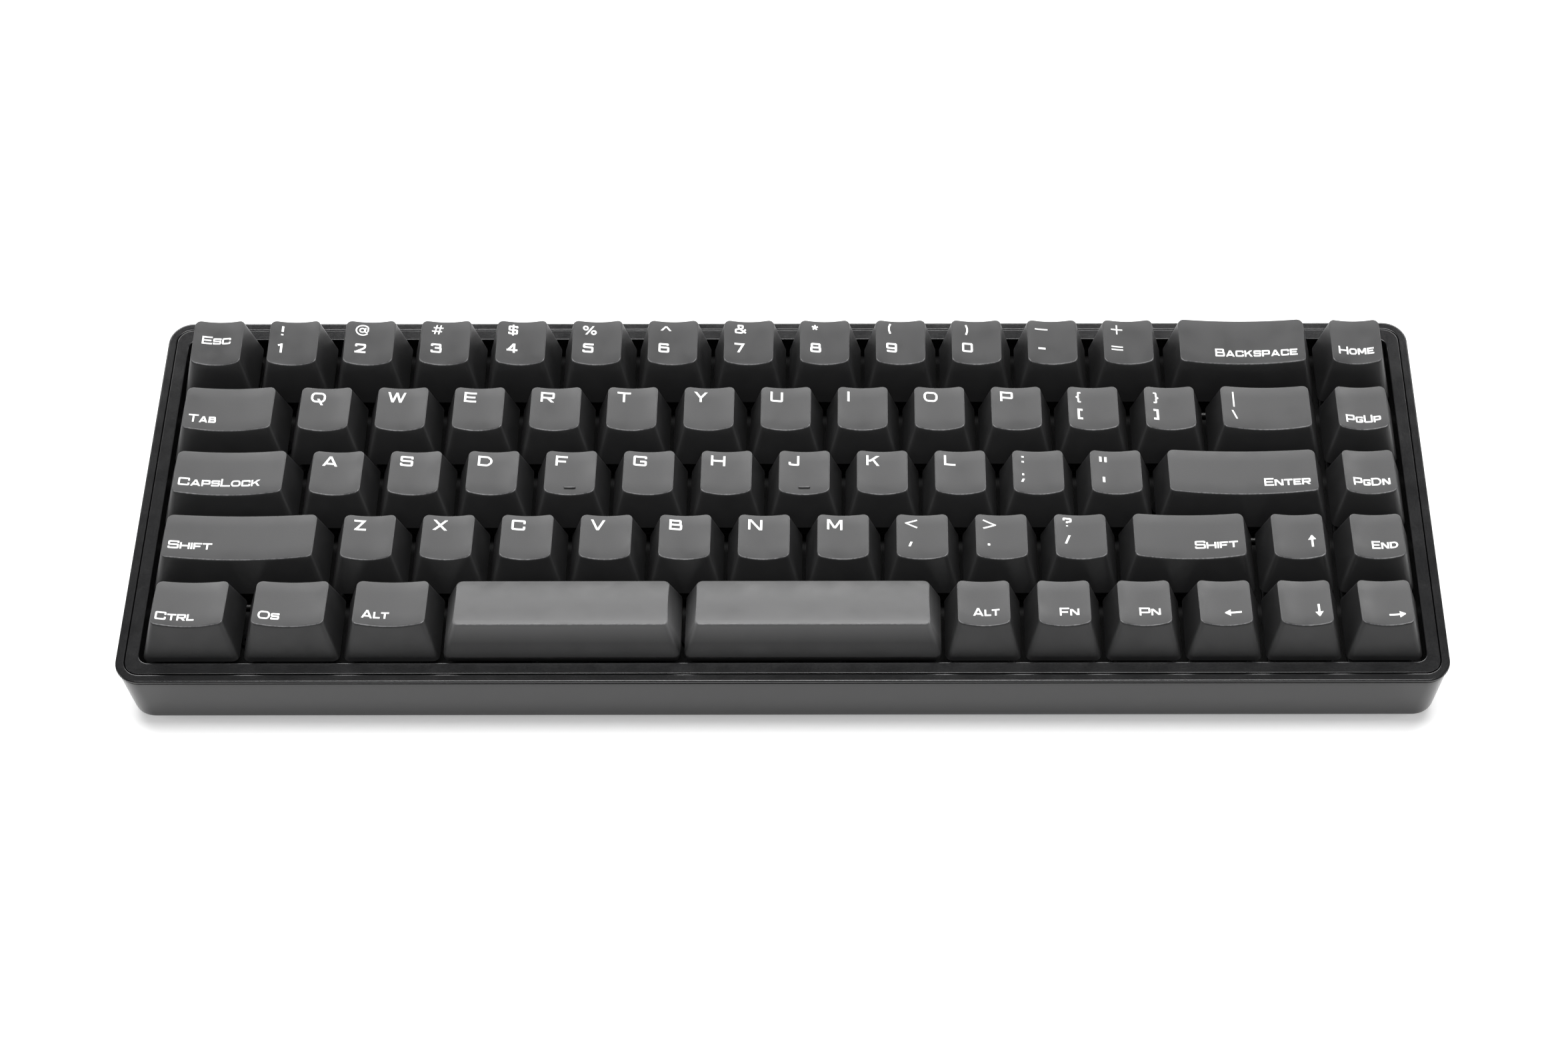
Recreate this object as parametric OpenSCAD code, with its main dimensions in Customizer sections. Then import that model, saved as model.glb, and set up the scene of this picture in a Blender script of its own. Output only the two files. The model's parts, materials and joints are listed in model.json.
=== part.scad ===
// Compact mechanical keyboard: 16 units by 5 rows, 69 keys, split space bar.
// The plate, the keys and the case rim lean at the typing angle. Their own frame has its
// origin in the middle of the key field on the plate's top face, +Y to the back, +Z along
// the key travel. The whole keyboard stands on z = 0 with its box centred on x = y = 0.

/* [Layout] */
// Spacing between neighbouring one-unit keys
key_pitch = 19.05; // [19:0.05:19.2]
// Angle that the plate and the keys lean at
typing_angle = 4.5; // [3:0.5:6]

/* [Keycaps] */
// Width and depth of a one-unit keycap at its skirt
cap_base = 18.1; // [17.8:0.1:18.3]
// Width of a one-unit keycap across its top
cap_top = 12.4; // [12:0.1:13]
// Front edge of a keycap's top, measured from the key's middle
cap_top_front = -4.4; // [-5:0.1:-4]
// Back edge of a keycap's top, measured from the key's middle
cap_top_back = 8.3; // [8:0.1:8.6]
// Depth of the finger dish across a keycap
dish_depth = 1.1; // [0.8:0.1:1.3]
// Thickness of a keycap's walls
cap_wall = 1.3; // [1:0.1:1.4]
// Gap between the plate and the skirt of a keycap that is up
skirt_gap = 6; // [5.8:0.1:6.4]

/* [Case] */
// Half the width of the case over its rim
case_half_w = 158.2; // [157.8:0.1:160]
// Half the depth of the case over its rim
case_half_d = 53.5; // [53.2:0.1:55]
// Corner radius of the case rim
case_corner = 6; // [4:0.5:8]
// Height of the rim above the plate
rim_z = 7.15; // [6.5:0.05:8]
// Width of the seam between the rim and the top frame
seam_w = 0.25; // [0.15:0.05:0.35]
// Height of the case's front edge, without its feet
front_h = 16.5; // [16.5:0.25:19]
// Thickness of the case walls
wall_t = 1.7; // [1.5:0.1:1.7]
// Thickness of the case floor
floor_t = 1.8; // [1.5:0.1:2]
// Angle that the case walls lean in towards the floor
wall_draft = 2.7; // [1:0.1:4]
// Height that the rubber feet stand out below the case
foot_h = 1.2; // [0.8:0.1:2]

/* [Switches] */
// Travel of a key
key_travel = 4; // [3.5:0.1:4]
// Size of the square switch holes in the plate
switch_hole = 14; // [13.9:0.05:14.05]
// Thickness of the switch plate
plate_t = 1.5; // [1.2:0.1:1.5]
// Distance from the plate's top face to the board's top face
board_z = 5; // [5:0.1:5.2]
// Thickness of the circuit board
board_t = 1.6; // [1.2:0.1:1.6]

/* [Hidden] */
// Each row from the back to the front: the node that a key belongs to, and its width in units.
ROWS = [
    concat([["key_esc", 1]], [for (i = [1:12]) ["number_row_keys", 1]],
        [["key_backspace", 2], ["navigation_keys", 1]]),
    concat([["key_tab", 1.5]], letters("qwertyuiop"), [for (i = [1:2]) ["punctuation_keys", 1]],
        [["punctuation_keys", 1.5], ["navigation_keys", 1]]),
    concat([["key_caps_lock", 1.75]], letters("asdfghjkl"), [for (i = [1:2]) ["punctuation_keys", 1]],
        [["key_enter", 2.25], ["navigation_keys", 1]]),
    concat([["key_shift_left", 2.25]], letters("zxcvbnm"), [for (i = [1:3]) ["punctuation_keys", 1]],
        [["key_shift_right", 1.75], ["key_arrow_up", 1], ["navigation_keys", 1]]),
    [["key_ctrl", 1.25], ["key_os", 1.25], ["key_alt_left", 1.25], ["key_space_left", 3],
        ["key_space_right", 3.25], ["key_alt_right", 1], ["key_fn", 1], ["key_pn", 1],
        ["key_arrow_left", 1], ["key_arrow_down", 1], ["key_arrow_right", 1]]
];
// Height of a keycap's top edge above its skirt in each row: [front, back].
TOP_HEIGHTS = [[11.2, 11.6], [9.65, 9.1], [9.35, 8.5], [9.65, 8.65], [10, 8.6]];
// Plate screws, where a wide key leaves room beside it: [distance from the left in units, row].
SCREWS = [[1.375, 1], [14.875, 1], [12.857, 2], [13.8125, 3], [1.25, 4], [6.8125, 4]];
STATIC_NODES = ["bottom_case", "top_frame", "switch_plate", "circuit_board",
    "switch_lower_housings", "switch_upper_housings", "switch_springs_and_contacts",
    "stabilizer_housings", "stabilizer_wires", "usb_socket", "plate_screws", "rubber_feet"];
GROUP_NODES = ["number_row_keys", "punctuation_keys", "navigation_keys"];
SINGLE_KEYS = [for (row = ROWS) for (key = row) if (search([key[0]], GROUP_NODES) == [[]]) key[0]];

$fn = 32;
units_wide = 16;
field_half_w = units_wide * key_pitch / 2;
field_half_d = len(ROWS) * key_pitch / 2;
eps = 0.01;

// Plate frame to standing frame.
lip_h = 1.2;
lip_out = 0.35;
plate_lift = foot_h + front_h + case_half_d * sin(typing_angle) - rim_z * cos(typing_angle);
plate_shift = (rim_z - lip_h / 2) * sin(typing_angle);

// Case outlines.
opening_gap = 0.45;
opening_half_w = field_half_w + opening_gap;
opening_half_d = field_half_d + opening_gap + 0.1;
opening_corner = 2.5;
frame_flange = 1.6;
frame_skirt = 1.5;
rim_w = lip_out + wall_t;
body_half_w = case_half_w - lip_out;
body_half_d = case_half_d - lip_out;
base_inset = (front_h + case_half_d * sin(typing_angle)) * tan(wall_draft);
plate_half_w = field_half_w + 1.8;
plate_half_d = field_half_d + 1.9;
board_half_w = field_half_w + 0.6;
board_half_d = field_half_d + 0.9;

// Screws and their bosses.
screw_d = 1.95;
screw_hole_d = 2.05;
screw_len = 6;
screw_head_d = 3.8;
screw_head_h = 1.3;
boss_d = 6;
boss_clear = 0.7;

// Switches.
housing_top = 6.6;
housing_split = 1;
housing_flange = 15.6;
housing_body = switch_hole - 0.1;
well_w = 9.4;
well_d = 7.4;
well_floor = key_travel + 0.1;
neck_w = 6.6;
neck_d = 5.2;
slider_w = 9;
slider_d = 7;
slider_low = 0.1;
slider_shoulder = 5.4;
spring_bore = 4.8;
spring_bore_top = 5;
peg_d = 3.9;
pin_len = 3.3;
pin_d = 1;
pin_x = 2;
pin_y = 5.2;
cross_len = 4;
cross_t = 1.27;
cross_h = 3.6;
cross_clear = 0.02;
post_d = 5.5;
post_start = 0.7;

// Stabilizers.
wire_d = 1.5;
wire_y = 9.5;
wire_z = 1;
stab_w = 6.5;
stab_d = 12.8;
stab_top = 2.4;
stab_slider_w = 4.2;
stab_slider_d = 4.6;
stab_slider_low = -0.3;

// USB socket, midway between two switches of the back row.
usb_x = -6 * key_pitch;
usb_w = 8.94;
usb_h = 3.26;
usb_len = 7.35;
usb_mouth = case_half_d - 2.6;
usb_z = -board_z - board_t - 0.02 - usb_h / 2;

// Feet and snap hooks.
foot_len = 26;
foot_w = 9;
foot_recess = 0.6;
foot_x = case_half_w - 28;
foot_y = case_half_d - 12;
hook_w = 8;
hook_z = 2.4;
hook_spots = [-120, -40, 40, 120];

cap_color = "#38393b";
case_color = "#3f4144";
housing_color = "#343538";

// A row of one-unit letter keys, one node each.
function letters(text) = [for (c = text) [str("key_", c), 1]];
// Units to the left of key i in a row.
function units_before(row, i) = i == 0 ? 0 : row[i - 1][1] + units_before(row, i - 1);
function unit_x(u) = u * key_pitch - field_half_w;
function row_y(r) = field_half_d - (r + 0.5) * key_pitch;
// Distance from a wide key's middle to its stabilizers, or 0 where it has none.
function stab_reach(u) = u >= 3 ? key_pitch : u >= 2 ? 11.94 : 0;
// Middles of the posts under a keycap that is u units wide.
function post_spots(u) = stab_reach(u) > 0 ? [-stab_reach(u), 0, stab_reach(u)] : [0];
// Corner points of an oblong with cut corners, with its height rising from z0 in front to z1.
function cut_oblong(w, y0, y1, z0, z1, cut) =
    [for (p = [[-w / 2 + cut, y0], [w / 2 - cut, y0], [w / 2, y0 + cut], [w / 2, y1 - cut],
            [w / 2 - cut, y1], [-w / 2 + cut, y1], [-w / 2, y1 - cut], [-w / 2, y0 + cut]])
        [p[0], p[1], z0 + (z1 - z0) * (p[1] - y0) / (y1 - y0)]];

module leaning() {
    translate([0, plate_shift, plate_lift]) rotate([typing_angle, 0, 0]) children();
}

// Draws its children at every key of the named node, or at every key for "any".
// $units and $row are the key's width and row.
module at_keys(name) {
    for (r = [0:len(ROWS) - 1])
        for (i = [0:len(ROWS[r]) - 1])
            if (name == "any" || ROWS[r][i][0] == name)
                translate([unit_x(units_before(ROWS[r], i) + ROWS[r][i][1] / 2), row_y(r), 0]) {
                    $units = ROWS[r][i][1];
                    $row = r;
                    children();
                }
}

// Draws its children at each stabilizer of every wide key.
module at_stabilizers() {
    at_keys("any")
        if (stab_reach($units) > 0)
            for (side = [-1, 1])
                translate([side * stab_reach($units), 0, 0]) children();
}

module at_screws() {
    for (s = SCREWS) translate([unit_x(s[0]), row_y(s[1]), 0]) children();
}

module round_oblong(half_w, half_d, r) {
    for (sx = [-1, 1])
        for (sy = [-1, 1])
            translate([sx * (half_w - r), sy * (half_d - r)]) circle(r);
    square([2 * (half_w - r), 2 * half_d], center = true);
    square([2 * half_w, 2 * (half_d - r)], center = true);
}

module slab(w, d, z0, z1) {
    translate([-w / 2, -d / 2, z0]) cube([w, d, z1 - z0]);
}

// A solid between two oblongs with cut corners.
module loft(low, high) {
    n = len(low);
    polyhedron(
        points = concat(low, high),
        faces = concat(
            [[for (i = [0:n - 1]) i]],
            [[for (i = [n - 1:-1:0]) n + i]],
            [for (i = [0:n - 1]) [i, n + i, n + (i + 1) % n, (i + 1) % n]]));
}

module cross(z0, z1, grow) {
    slab(cross_len + 2 * grow, cross_t + 2 * grow, z0, z1);
    slab(cross_t + 2 * grow, cross_len + 2 * grow, z0, z1);
}

// ---- Keys ----

// Scoop along a keycap's top that leaves a narrow flat along each side edge.
module dish(top_w, heights) {
    chord = top_w - 0.3;
    radius = chord * chord / (8 * dish_depth) + dish_depth / 2;
    slope = atan((heights[1] - heights[0]) / (cap_top_back - cap_top_front));
    translate([0, (cap_top_front + cap_top_back) / 2, (heights[0] + heights[1]) / 2])
        rotate([90 + slope, 0, 0])
            translate([0, radius - dish_depth, 0])
                cylinder(h = 30, r = radius, center = true, $fn = 96);
}

// Crowned envelope of a space bar's top.
module crown(width, heights) {
    radius = 34;
    slope = atan((heights[1] - heights[0]) / (cap_top_back - cap_top_front));
    translate([0, (cap_top_front + cap_top_back) / 2, (heights[0] + heights[1]) / 2])
        rotate([slope, 0, 0])
            translate([0, 0, 0.1 - radius])
                rotate([0, 90, 0]) cylinder(h = width, r = radius, center = true, $fn = 96);
}

module cap_shell(units, heights, is_space) {
    extra = (units - 1) * key_pitch;
    base = cap_base + extra;
    top = cap_top + extra;
    ceiling = dish_depth + 1.5;
    low_half = cap_base / 2;
    difference() {
        loft(cut_oblong(base, -low_half, low_half, 0, 0, 0.8),
            cut_oblong(top, cap_top_front, cap_top_back, heights[0], heights[1], 1.2));
        if (!is_space) dish(top, heights);
        loft(
            cut_oblong(base - 2 * cap_wall, cap_wall - low_half, low_half - cap_wall, -eps, -eps, 0.8),
            cut_oblong(top - 1.2 * cap_wall, cap_top_front + cap_wall / 2, cap_top_back - cap_wall,
                heights[0] - ceiling, heights[1] - ceiling, 1.2));
    }
}

// Keycap with its posts. Its skirt is at z = 0.
module keycap(units, row) {
    heights = TOP_HEIGHTS[row];
    middle_height = heights[0] - (heights[1] - heights[0]) * cap_top_front / (cap_top_back - cap_top_front);
    is_space = units >= 3;
    difference() {
        union() {
            if (is_space)
                intersection() {
                    cap_shell(units, heights, true);
                    crown(units * key_pitch, heights);
                }
            else
                cap_shell(units, heights, false);
            for (x = post_spots(units))
                translate([x, 0, post_start])
                    cylinder(h = middle_height - dish_depth - 0.9 - post_start, d = post_d);
        }
        for (x = post_spots(units))
            translate([x, 0, 0])
                cross(post_start - eps, housing_top + cross_h + 0.1 - skirt_gap, cross_clear);
    }
}

// Small bar near a keycap's front edge, which the index fingers find.
module homing_bar(heights) {
    translate([0, cap_top_front + 1.9, heights[0] - dish_depth])
        rotate([0, 90, 0]) cylinder(h = 2.9, d = 0.7, center = true);
}

// Sliding stem of a switch, in the plate's frame.
module switch_stem() {
    difference() {
        union() {
            slab(slider_w, slider_d, slider_low, slider_shoulder);
            slab(neck_w, neck_d, slider_shoulder - eps, housing_top);
            cross(housing_top - eps, housing_top + cross_h, 0);
        }
        translate([0, 0, slider_low - eps]) cylinder(h = spring_bore_top - slider_low, d = spring_bore);
    }
}

module stabilizer_slider() {
    slab(stab_slider_w, stab_slider_d, stab_slider_low, housing_top);
    cross(housing_top - eps, housing_top + cross_h, 0);
}

// Every key of a node: its cap, its stem and its stabilizer sliders.
module keys(name) {
    leaning()
        at_keys(name) {
            color(cap_color)
                translate([0, 0, skirt_gap]) {
                    keycap($units, $row);
                    if (name == "key_f" || name == "key_j") homing_bar(TOP_HEIGHTS[$row]);
                }
            color("#202020")
                switch_stem();
            color("#202020")
                for (x = post_spots($units))
                    if (x != 0) translate([x, 0, 0]) stabilizer_slider();
        }
}

// ---- Switches ----

module switch_lower_housings() {
    color("#2b2c2e")
        leaning()
            at_keys("any")
                difference() {
                    union() {
                        slab(housing_body, housing_body, -board_z + 0.02, eps);
                        slab(housing_flange, housing_flange, 0.02, housing_split);
                        translate([0, 0, -board_z - pin_len]) cylinder(h = pin_len + 0.5, d = peg_d);
                    }
                    slab(well_w, well_d, -well_floor, housing_split + 1);
                    translate([0, pin_y - 0.2, 0]) slab(6.4, 1.2, -well_floor, housing_split + 1);
                    for (side = [-1, 1])
                        translate([side * pin_x, pin_y, -board_z - 1]) cylinder(h = 3, d = pin_d + 0.2);
                }
}

module switch_upper_housings() {
    color(housing_color)
        leaning()
            at_keys("any")
                difference() {
                    union() {
                        slab(housing_flange, housing_flange, housing_split + 0.02, housing_split + 0.6);
                        loft(cut_oblong(14.6, -7.3, 7.3, housing_split + 0.3, housing_split + 0.3, 1),
                            cut_oblong(10.8, -4.6, 4.6, housing_top, housing_top, 0.8));
                    }
                    slab(well_w, well_d, housing_split - 1, slider_shoulder + 0.2);
                    slab(neck_w + 0.5, post_d + 0.6, 0, housing_top + 1);
                }
}

// Coil springs, at their pressed height, and the two contact leaves of each switch.
module switch_springs_and_contacts() {
    leaning()
        at_keys("any") {
            color("silver")
                translate([0, 0, -well_floor + 0.02])
                    difference() {
                        cylinder(h = 5, d = 4.4);
                        translate([0, 0, -1]) cylinder(h = 7, d = 3.8);
                    }
            color("#b08d57")
                for (side = [-1, 1])
                    translate([side * pin_x, pin_y, 0]) {
                        slab(1.6, 0.4, -well_floor + 0.02, housing_split - 0.2);
                        translate([0, 0, -board_z - pin_len]) cylinder(h = pin_len + 1.2, d = pin_d);
                    }
        }
}

// ---- Stabilizers ----

// Side of a wide key that its wire lies on: the back in the front row, the front elsewhere.
function wire_side(row) = row == len(ROWS) - 1 ? 1 : -1;

module stabilizer_housings() {
    color("#2b2c2e")
        leaning()
            at_stabilizers()
                difference() {
                    union() {
                        slab(stab_w, stab_d, -board_z + 0.3, eps);
                        slab(7.4, stab_d + 1.4, 0.02, 0.6);
                        slab(6, 9, 0.3, stab_top);
                    }
                    slab(stab_slider_w + 0.4, stab_slider_d + 0.4, -board_z + 0.5, stab_top + 1);
                    translate([0, wire_side($row) * 6, 0])
                        slab(wire_d + 0.4, 8, wire_z - wire_d / 2 - 0.2, stab_top + 1);
                }
}

module stabilizer_wires() {
    color("silver")
        leaning()
            at_keys("any") {
                reach = stab_reach($units);
                side = wire_side($row);
                if (reach > 0)
                    translate([0, 0, wire_z]) {
                        translate([0, side * wire_y, 0])
                            rotate([0, 90, 0]) cylinder(h = 2 * reach, d = wire_d, center = true);
                        for (end = [-1, 1])
                            translate([end * reach, side * wire_y, 0]) {
                                sphere(d = wire_d);
                                rotate([side * 90, 0, 0]) cylinder(h = wire_y - 2.7, d = wire_d);
                            }
                    }
            }
}

// ---- Plate and board ----

module switch_plate() {
    color("#1b1c1d")
        leaning()
            translate([0, 0, -plate_t])
                linear_extrude(plate_t)
                    difference() {
                        round_oblong(plate_half_w, plate_half_d, 3);
                        at_keys("any") square(switch_hole, center = true);
                        at_stabilizers() square([stab_w + 0.2, stab_d + 0.2], center = true);
                        at_screws() circle(d = screw_d + 0.35);
                    }
}

module circuit_board() {
    color("#1f2a24")
        leaning()
            translate([0, 0, -board_z - board_t])
                linear_extrude(board_t)
                    difference() {
                        union() {
                            round_oblong(board_half_w, board_half_d, 2);
                            translate([usb_x - 8, 0]) square([16, board_half_d + 0.85]);
                        }
                        at_keys("any") circle(d = peg_d + 0.2);
                        at_keys("any")
                            for (side = [-1, 1])
                                translate([side * pin_x, pin_y]) circle(d = pin_d + 0.3, $fn = 24);
                        at_screws() circle(d = boss_d + 2 * boss_clear);
                    }
    color("#151515")
        leaning()
            translate([0, 0, -board_z - board_t - 0.02]) {
                translate([24, key_pitch / 2 + 1.6, 0]) slab(7, 7, -1, 0);
                at_keys("any") translate([4, -5.6, 0]) slab(2.7, 1.5, -1, 0);
            }
}

module usb_socket() {
    color("silver")
        leaning()
            translate([usb_x, usb_mouth, usb_z])
                rotate([90, 0, 0]) {
                    difference() {
                        linear_extrude(usb_len) round_oblong(usb_w / 2, usb_h / 2, usb_h / 2 - eps);
                        translate([0, 0, -1])
                            linear_extrude(usb_len)
                                round_oblong(usb_w / 2 - 0.3, usb_h / 2 - 0.3, usb_h / 2 - 0.3 - eps);
                    }
                    translate([0, 0, 0.8])
                        linear_extrude(usb_len - 1) square([6.6, 0.7], center = true);
                }
}

// ---- Case ----

module case_body(inset, base_z, top_extra) {
    hull() {
        leaning()
            translate([0, 0, rim_z + top_extra - eps])
                linear_extrude(eps)
                    round_oblong(body_half_w - inset, body_half_d - inset, case_corner - inset);
        translate([0, 0, base_z])
            linear_extrude(eps)
                round_oblong(body_half_w - base_inset - inset,
                    body_half_d * cos(typing_angle) - base_inset - inset, case_corner - inset);
    }
}

module at_feet() {
    for (sx = [-1, 1])
        for (sy = [-1, 1])
            translate([sx * foot_x, sy * foot_y, 0]) children();
}

module foot_outline(grow) {
    square([foot_len - foot_w, foot_w + 2 * grow], center = true);
    for (side = [-1, 1])
        translate([side * (foot_len - foot_w) / 2, 0]) circle(d = foot_w + 2 * grow);
}

// Places for the snap hooks along the long sides of the top frame. $reach is how far a
// hook stands out there to enter the case wall.
module at_hooks() {
    for (x = hook_spots)
        for (side = [-1, 1])
            translate([x, side * (opening_half_d + frame_skirt), hook_z])
                mirror([0, side < 0 ? 1 : 0, 0]) {
                    $reach = side < 0 ? 1.7 : 2.4;
                    children();
                }
}

module bottom_case() {
    color(case_color)
        difference() {
            union() {
                difference() {
                    union() {
                        case_body(0, foot_h, -lip_h / 2);
                        leaning()
                            translate([0, 0, rim_z - lip_h])
                                linear_extrude(lip_h) round_oblong(case_half_w, case_half_d, case_corner);
                    }
                    case_body(wall_t, foot_h + floor_t, 0.5);
                }
                intersection() {
                    case_body(wall_t / 2, foot_h + floor_t / 2, 0);
                    leaning() {
                        at_screws() translate([0, 0, -25]) cylinder(h = 25 - plate_t - 0.02, d = boss_d);
                        plate_rests();
                    }
                }
            }
            leaning() {
                at_screws() translate([0, 0, -screw_len - 1]) cylinder(h = screw_len + 1, d = screw_hole_d);
                translate([usb_x, case_half_d + 3, usb_z])
                    rotate([90, 0, 0])
                        linear_extrude(8) round_oblong(usb_w / 2 + 0.3, usb_h / 2 + 0.3, usb_h / 2 + 0.29);
                at_hooks() translate([-hook_w / 2 - 0.4, $reach - 1, -0.4]) cube([hook_w + 0.8, 1.3, 2]);
            }
            at_feet()
                translate([0, 0, foot_h - 1]) linear_extrude(1 + foot_recess) foot_outline(0.1);
        }
}

// Ribs on the case walls that the plate's edge lies on.
module plate_rests() {
    for (x = [-130, -65, 0, 65, 130])
        for (side = [-1, 1])
            translate([x, side * (plate_half_d - 0.6 + 3), -25])
                slab(2.4, 6, 0, 25 - plate_t - 0.02);
    for (y = [-30, 0, 30])
        for (side = [-1, 1])
            translate([side * (plate_half_w - 0.6 + 3), y, -25])
                slab(6, 2.4, 0, 25 - plate_t - 0.02);
}

module top_frame() {
    outer_half_w = case_half_w - rim_w - seam_w;
    outer_half_d = case_half_d - rim_w - seam_w;
    color(case_color)
        leaning() {
            difference() {
                union() {
                    translate([0, 0, rim_z - frame_flange])
                        linear_extrude(frame_flange)
                            round_oblong(outer_half_w, outer_half_d, case_corner - rim_w - seam_w);
                    translate([0, 0, 0.05])
                        linear_extrude(rim_z - frame_flange)
                            round_oblong(opening_half_w + frame_skirt, opening_half_d + frame_skirt,
                                opening_corner + frame_skirt);
                }
                translate([0, 0, -1])
                    linear_extrude(rim_z + 2) round_oblong(opening_half_w, opening_half_d, opening_corner);
            }
            at_hooks() translate([-hook_w / 2, -0.2, 0]) cube([hook_w, $reach + 0.2, 1.2]);
        }
}

module plate_screws() {
    color("#1d1e1f")
        leaning()
            at_screws()
                difference() {
                    union() {
                        translate([0, 0, 0.02]) cylinder(h = screw_head_h, d = screw_head_d);
                        translate([0, 0, 0.1 - screw_len]) cylinder(h = screw_len, d = screw_d);
                    }
                    translate([0, 0, screw_head_h - 0.6]) {
                        slab(2, 0.5, 0, 1);
                        slab(0.5, 2, 0, 1);
                    }
                }
}

module rubber_feet() {
    color("#141414")
        at_feet()
            linear_extrude(foot_h + foot_recess - 0.02) foot_outline(0);
}

bottom_case();
top_frame();
switch_plate();
circuit_board();
switch_lower_housings();
switch_upper_housings();
switch_springs_and_contacts();
stabilizer_housings();
stabilizer_wires();
usb_socket();
plate_screws();
rubber_feet();
for (name = concat(GROUP_NODES, SINGLE_KEYS))
    keys(name);
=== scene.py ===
import json
import math

import bmesh
import bpy
import numpy as np
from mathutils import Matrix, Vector
from mathutils.geometry import delaunay_2d_cdt


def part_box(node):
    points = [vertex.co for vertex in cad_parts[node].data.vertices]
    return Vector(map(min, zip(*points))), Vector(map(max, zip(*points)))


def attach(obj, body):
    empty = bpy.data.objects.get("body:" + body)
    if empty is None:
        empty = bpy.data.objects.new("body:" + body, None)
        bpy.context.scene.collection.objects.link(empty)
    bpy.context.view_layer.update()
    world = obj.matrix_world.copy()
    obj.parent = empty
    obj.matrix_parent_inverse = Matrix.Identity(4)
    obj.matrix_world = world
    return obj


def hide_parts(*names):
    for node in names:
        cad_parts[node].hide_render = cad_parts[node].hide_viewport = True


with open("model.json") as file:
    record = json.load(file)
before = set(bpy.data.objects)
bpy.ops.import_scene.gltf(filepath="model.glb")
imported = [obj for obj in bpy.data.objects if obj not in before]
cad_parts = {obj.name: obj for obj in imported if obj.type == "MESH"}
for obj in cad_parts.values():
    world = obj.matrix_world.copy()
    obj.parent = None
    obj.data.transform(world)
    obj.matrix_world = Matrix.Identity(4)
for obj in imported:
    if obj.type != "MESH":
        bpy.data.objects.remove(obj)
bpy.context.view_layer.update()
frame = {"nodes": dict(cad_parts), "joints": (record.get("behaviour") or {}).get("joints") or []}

# ---------- sizes, in millimetres
MM = 0.001
PITCH = 19.05  # from key to key
FIELD_HALF_W, FIELD_HALF_D = 8 * PITCH, 2.5 * PITCH
PLATE_T = 1.5
SKIRT = 6.0  # plate to the skirt of a keycap

CAP_BASE, CAP_TOP = 18.1, 12.4  # widths of a cap of one unit
CAP_WALL, CAP_SHELL = 1.3, 1.5  # thickness of its sides and of its top
TOP_FRONT, TOP_BACK = -4.4, 8.45  # where its top begins and ends, from the key's middle
TOP_HEIGHTS = [(11.2, 11.6), (9.65, 9.1), (9.35, 8.5), (9.65, 8.65), (10.0, 8.6)]  # front, back; row by row
DISH = 1.1  # how deep the scoop is
CROWN_R, CROWN_RISE = 34.0, 0.1  # the top of a space bar
CAP_BEVEL, SPACE_FOOT = 0.12, 1.8  # where the walls begin to lean in, above the skirt
# Radii of front and back corners: foot of the walls, skirt, edge of the top, and inside its rounding.
FOOT_R, SKIRT_R, TOP_R, INNER_R = (1.7, 1.9), (1.6, 1.8), (1.25, 1.7), (1.0, 1.4)
EDGE_SIDE, EDGE_FRONT, EDGE_BACK = 0.28, 0.42, 0.26  # how far that rounding reaches in
POST_R, POST_Z, POST_SHELL = 2.75, 0.7, 1.2  # the post under a cap
SOCKET_ARM, SOCKET_HALF_T, SOCKET_TOP = 2.02, 0.655, 4.3  # the cross-shaped hole in it

HOUSING_TOP, SHOULDER, STEM_FOOT = 6.6, 5.4, 0.1  # heights above the plate
STEM_HALF_W, STEM_HALF_D, STEM_BORE_R, STEM_BORE_TOP = 4.5, 3.5, 2.4, 5.0
NECK_W, NECK_D, STAB_W, STAB_D = 6.6, 5.2, 4.2, 4.6
CROSS_LEN, CROSS_T, CROSS_H = 4.0, 1.27, 3.6
STAB_REACH_2U = 11.94  # from a key's middle to its outer stems, on keys of 2 to 3 units

CASE_HALF_W, CASE_HALF_D, CASE_CORNER = 158.2, 53.5, 6.0
RIM_Z, LIP_H, LIP_OUT, WALL_T, FLOOR_T = 7.15, 0.64, 0.35, 1.7, 1.8
SEAM, FLANGE, FRAME_SKIRT = 0.25, 1.6, 1.5
OPENING = (FIELD_HALF_W + 0.45, FIELD_HALF_D + 0.55, 2.5)  # half width, half depth, corner
FRONT_H, DRAFT, FOOT_H = 16.5, math.radians(2.7), 1.2  # FOOT_H is how far the feet lift the case
FOOT_LEN, FOOT_W, FOOT_RECESS = 26.0, 9.0, 0.6
FEET = [(sx * (CASE_HALF_W - 28), sy * (CASE_HALF_D - 12)) for sx in (-1, 1) for sy in (-1, 1)]
HOOKS = [(x, side) for x in (-120, -40, 40, 120) for side in (-1, 1)]
HOOK_Z, HOOK_W, HOOK_REACH = 2.4, 8.0, {-1: 1.7, 1: 2.4}  # the hooks reach further at the back
USB_X, USB_HALF_W, USB_HALF_H, USB_GAP, USB_CORNER = -6 * PITCH, 8.94 / 2, 3.26 / 2, 0.3, 1.92
USB_Z = -5 - 1.6 - 0.02 - 1.63  # down past the gap to the board, the board, and half the socket

# ---------- the leaning frame of the plate
UP = -Vector(frame["joints"][0]["axis"]).normalized()
LEAN = math.atan2(-UP.y, UP.z)
plate_lo, plate_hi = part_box("switch_plate")
PLATE_TOP = (plate_lo + plate_hi) / 2 + UP * (PLATE_T / 2 * MM)
ROT = np.array([[1, 0, 0], [0, UP.z, UP.y], [0, -UP.y, UP.z]])
BASE_INSET = (FRONT_H + CASE_HALF_D * math.sin(LEAN)) * math.tan(DRAFT)


def leaning(points):
    """Points in millimetres of the plate's leaning frame, to metres of the shared frame."""
    return np.asarray(points, float) @ ROT.T * MM + np.array(PLATE_TOP)


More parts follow.
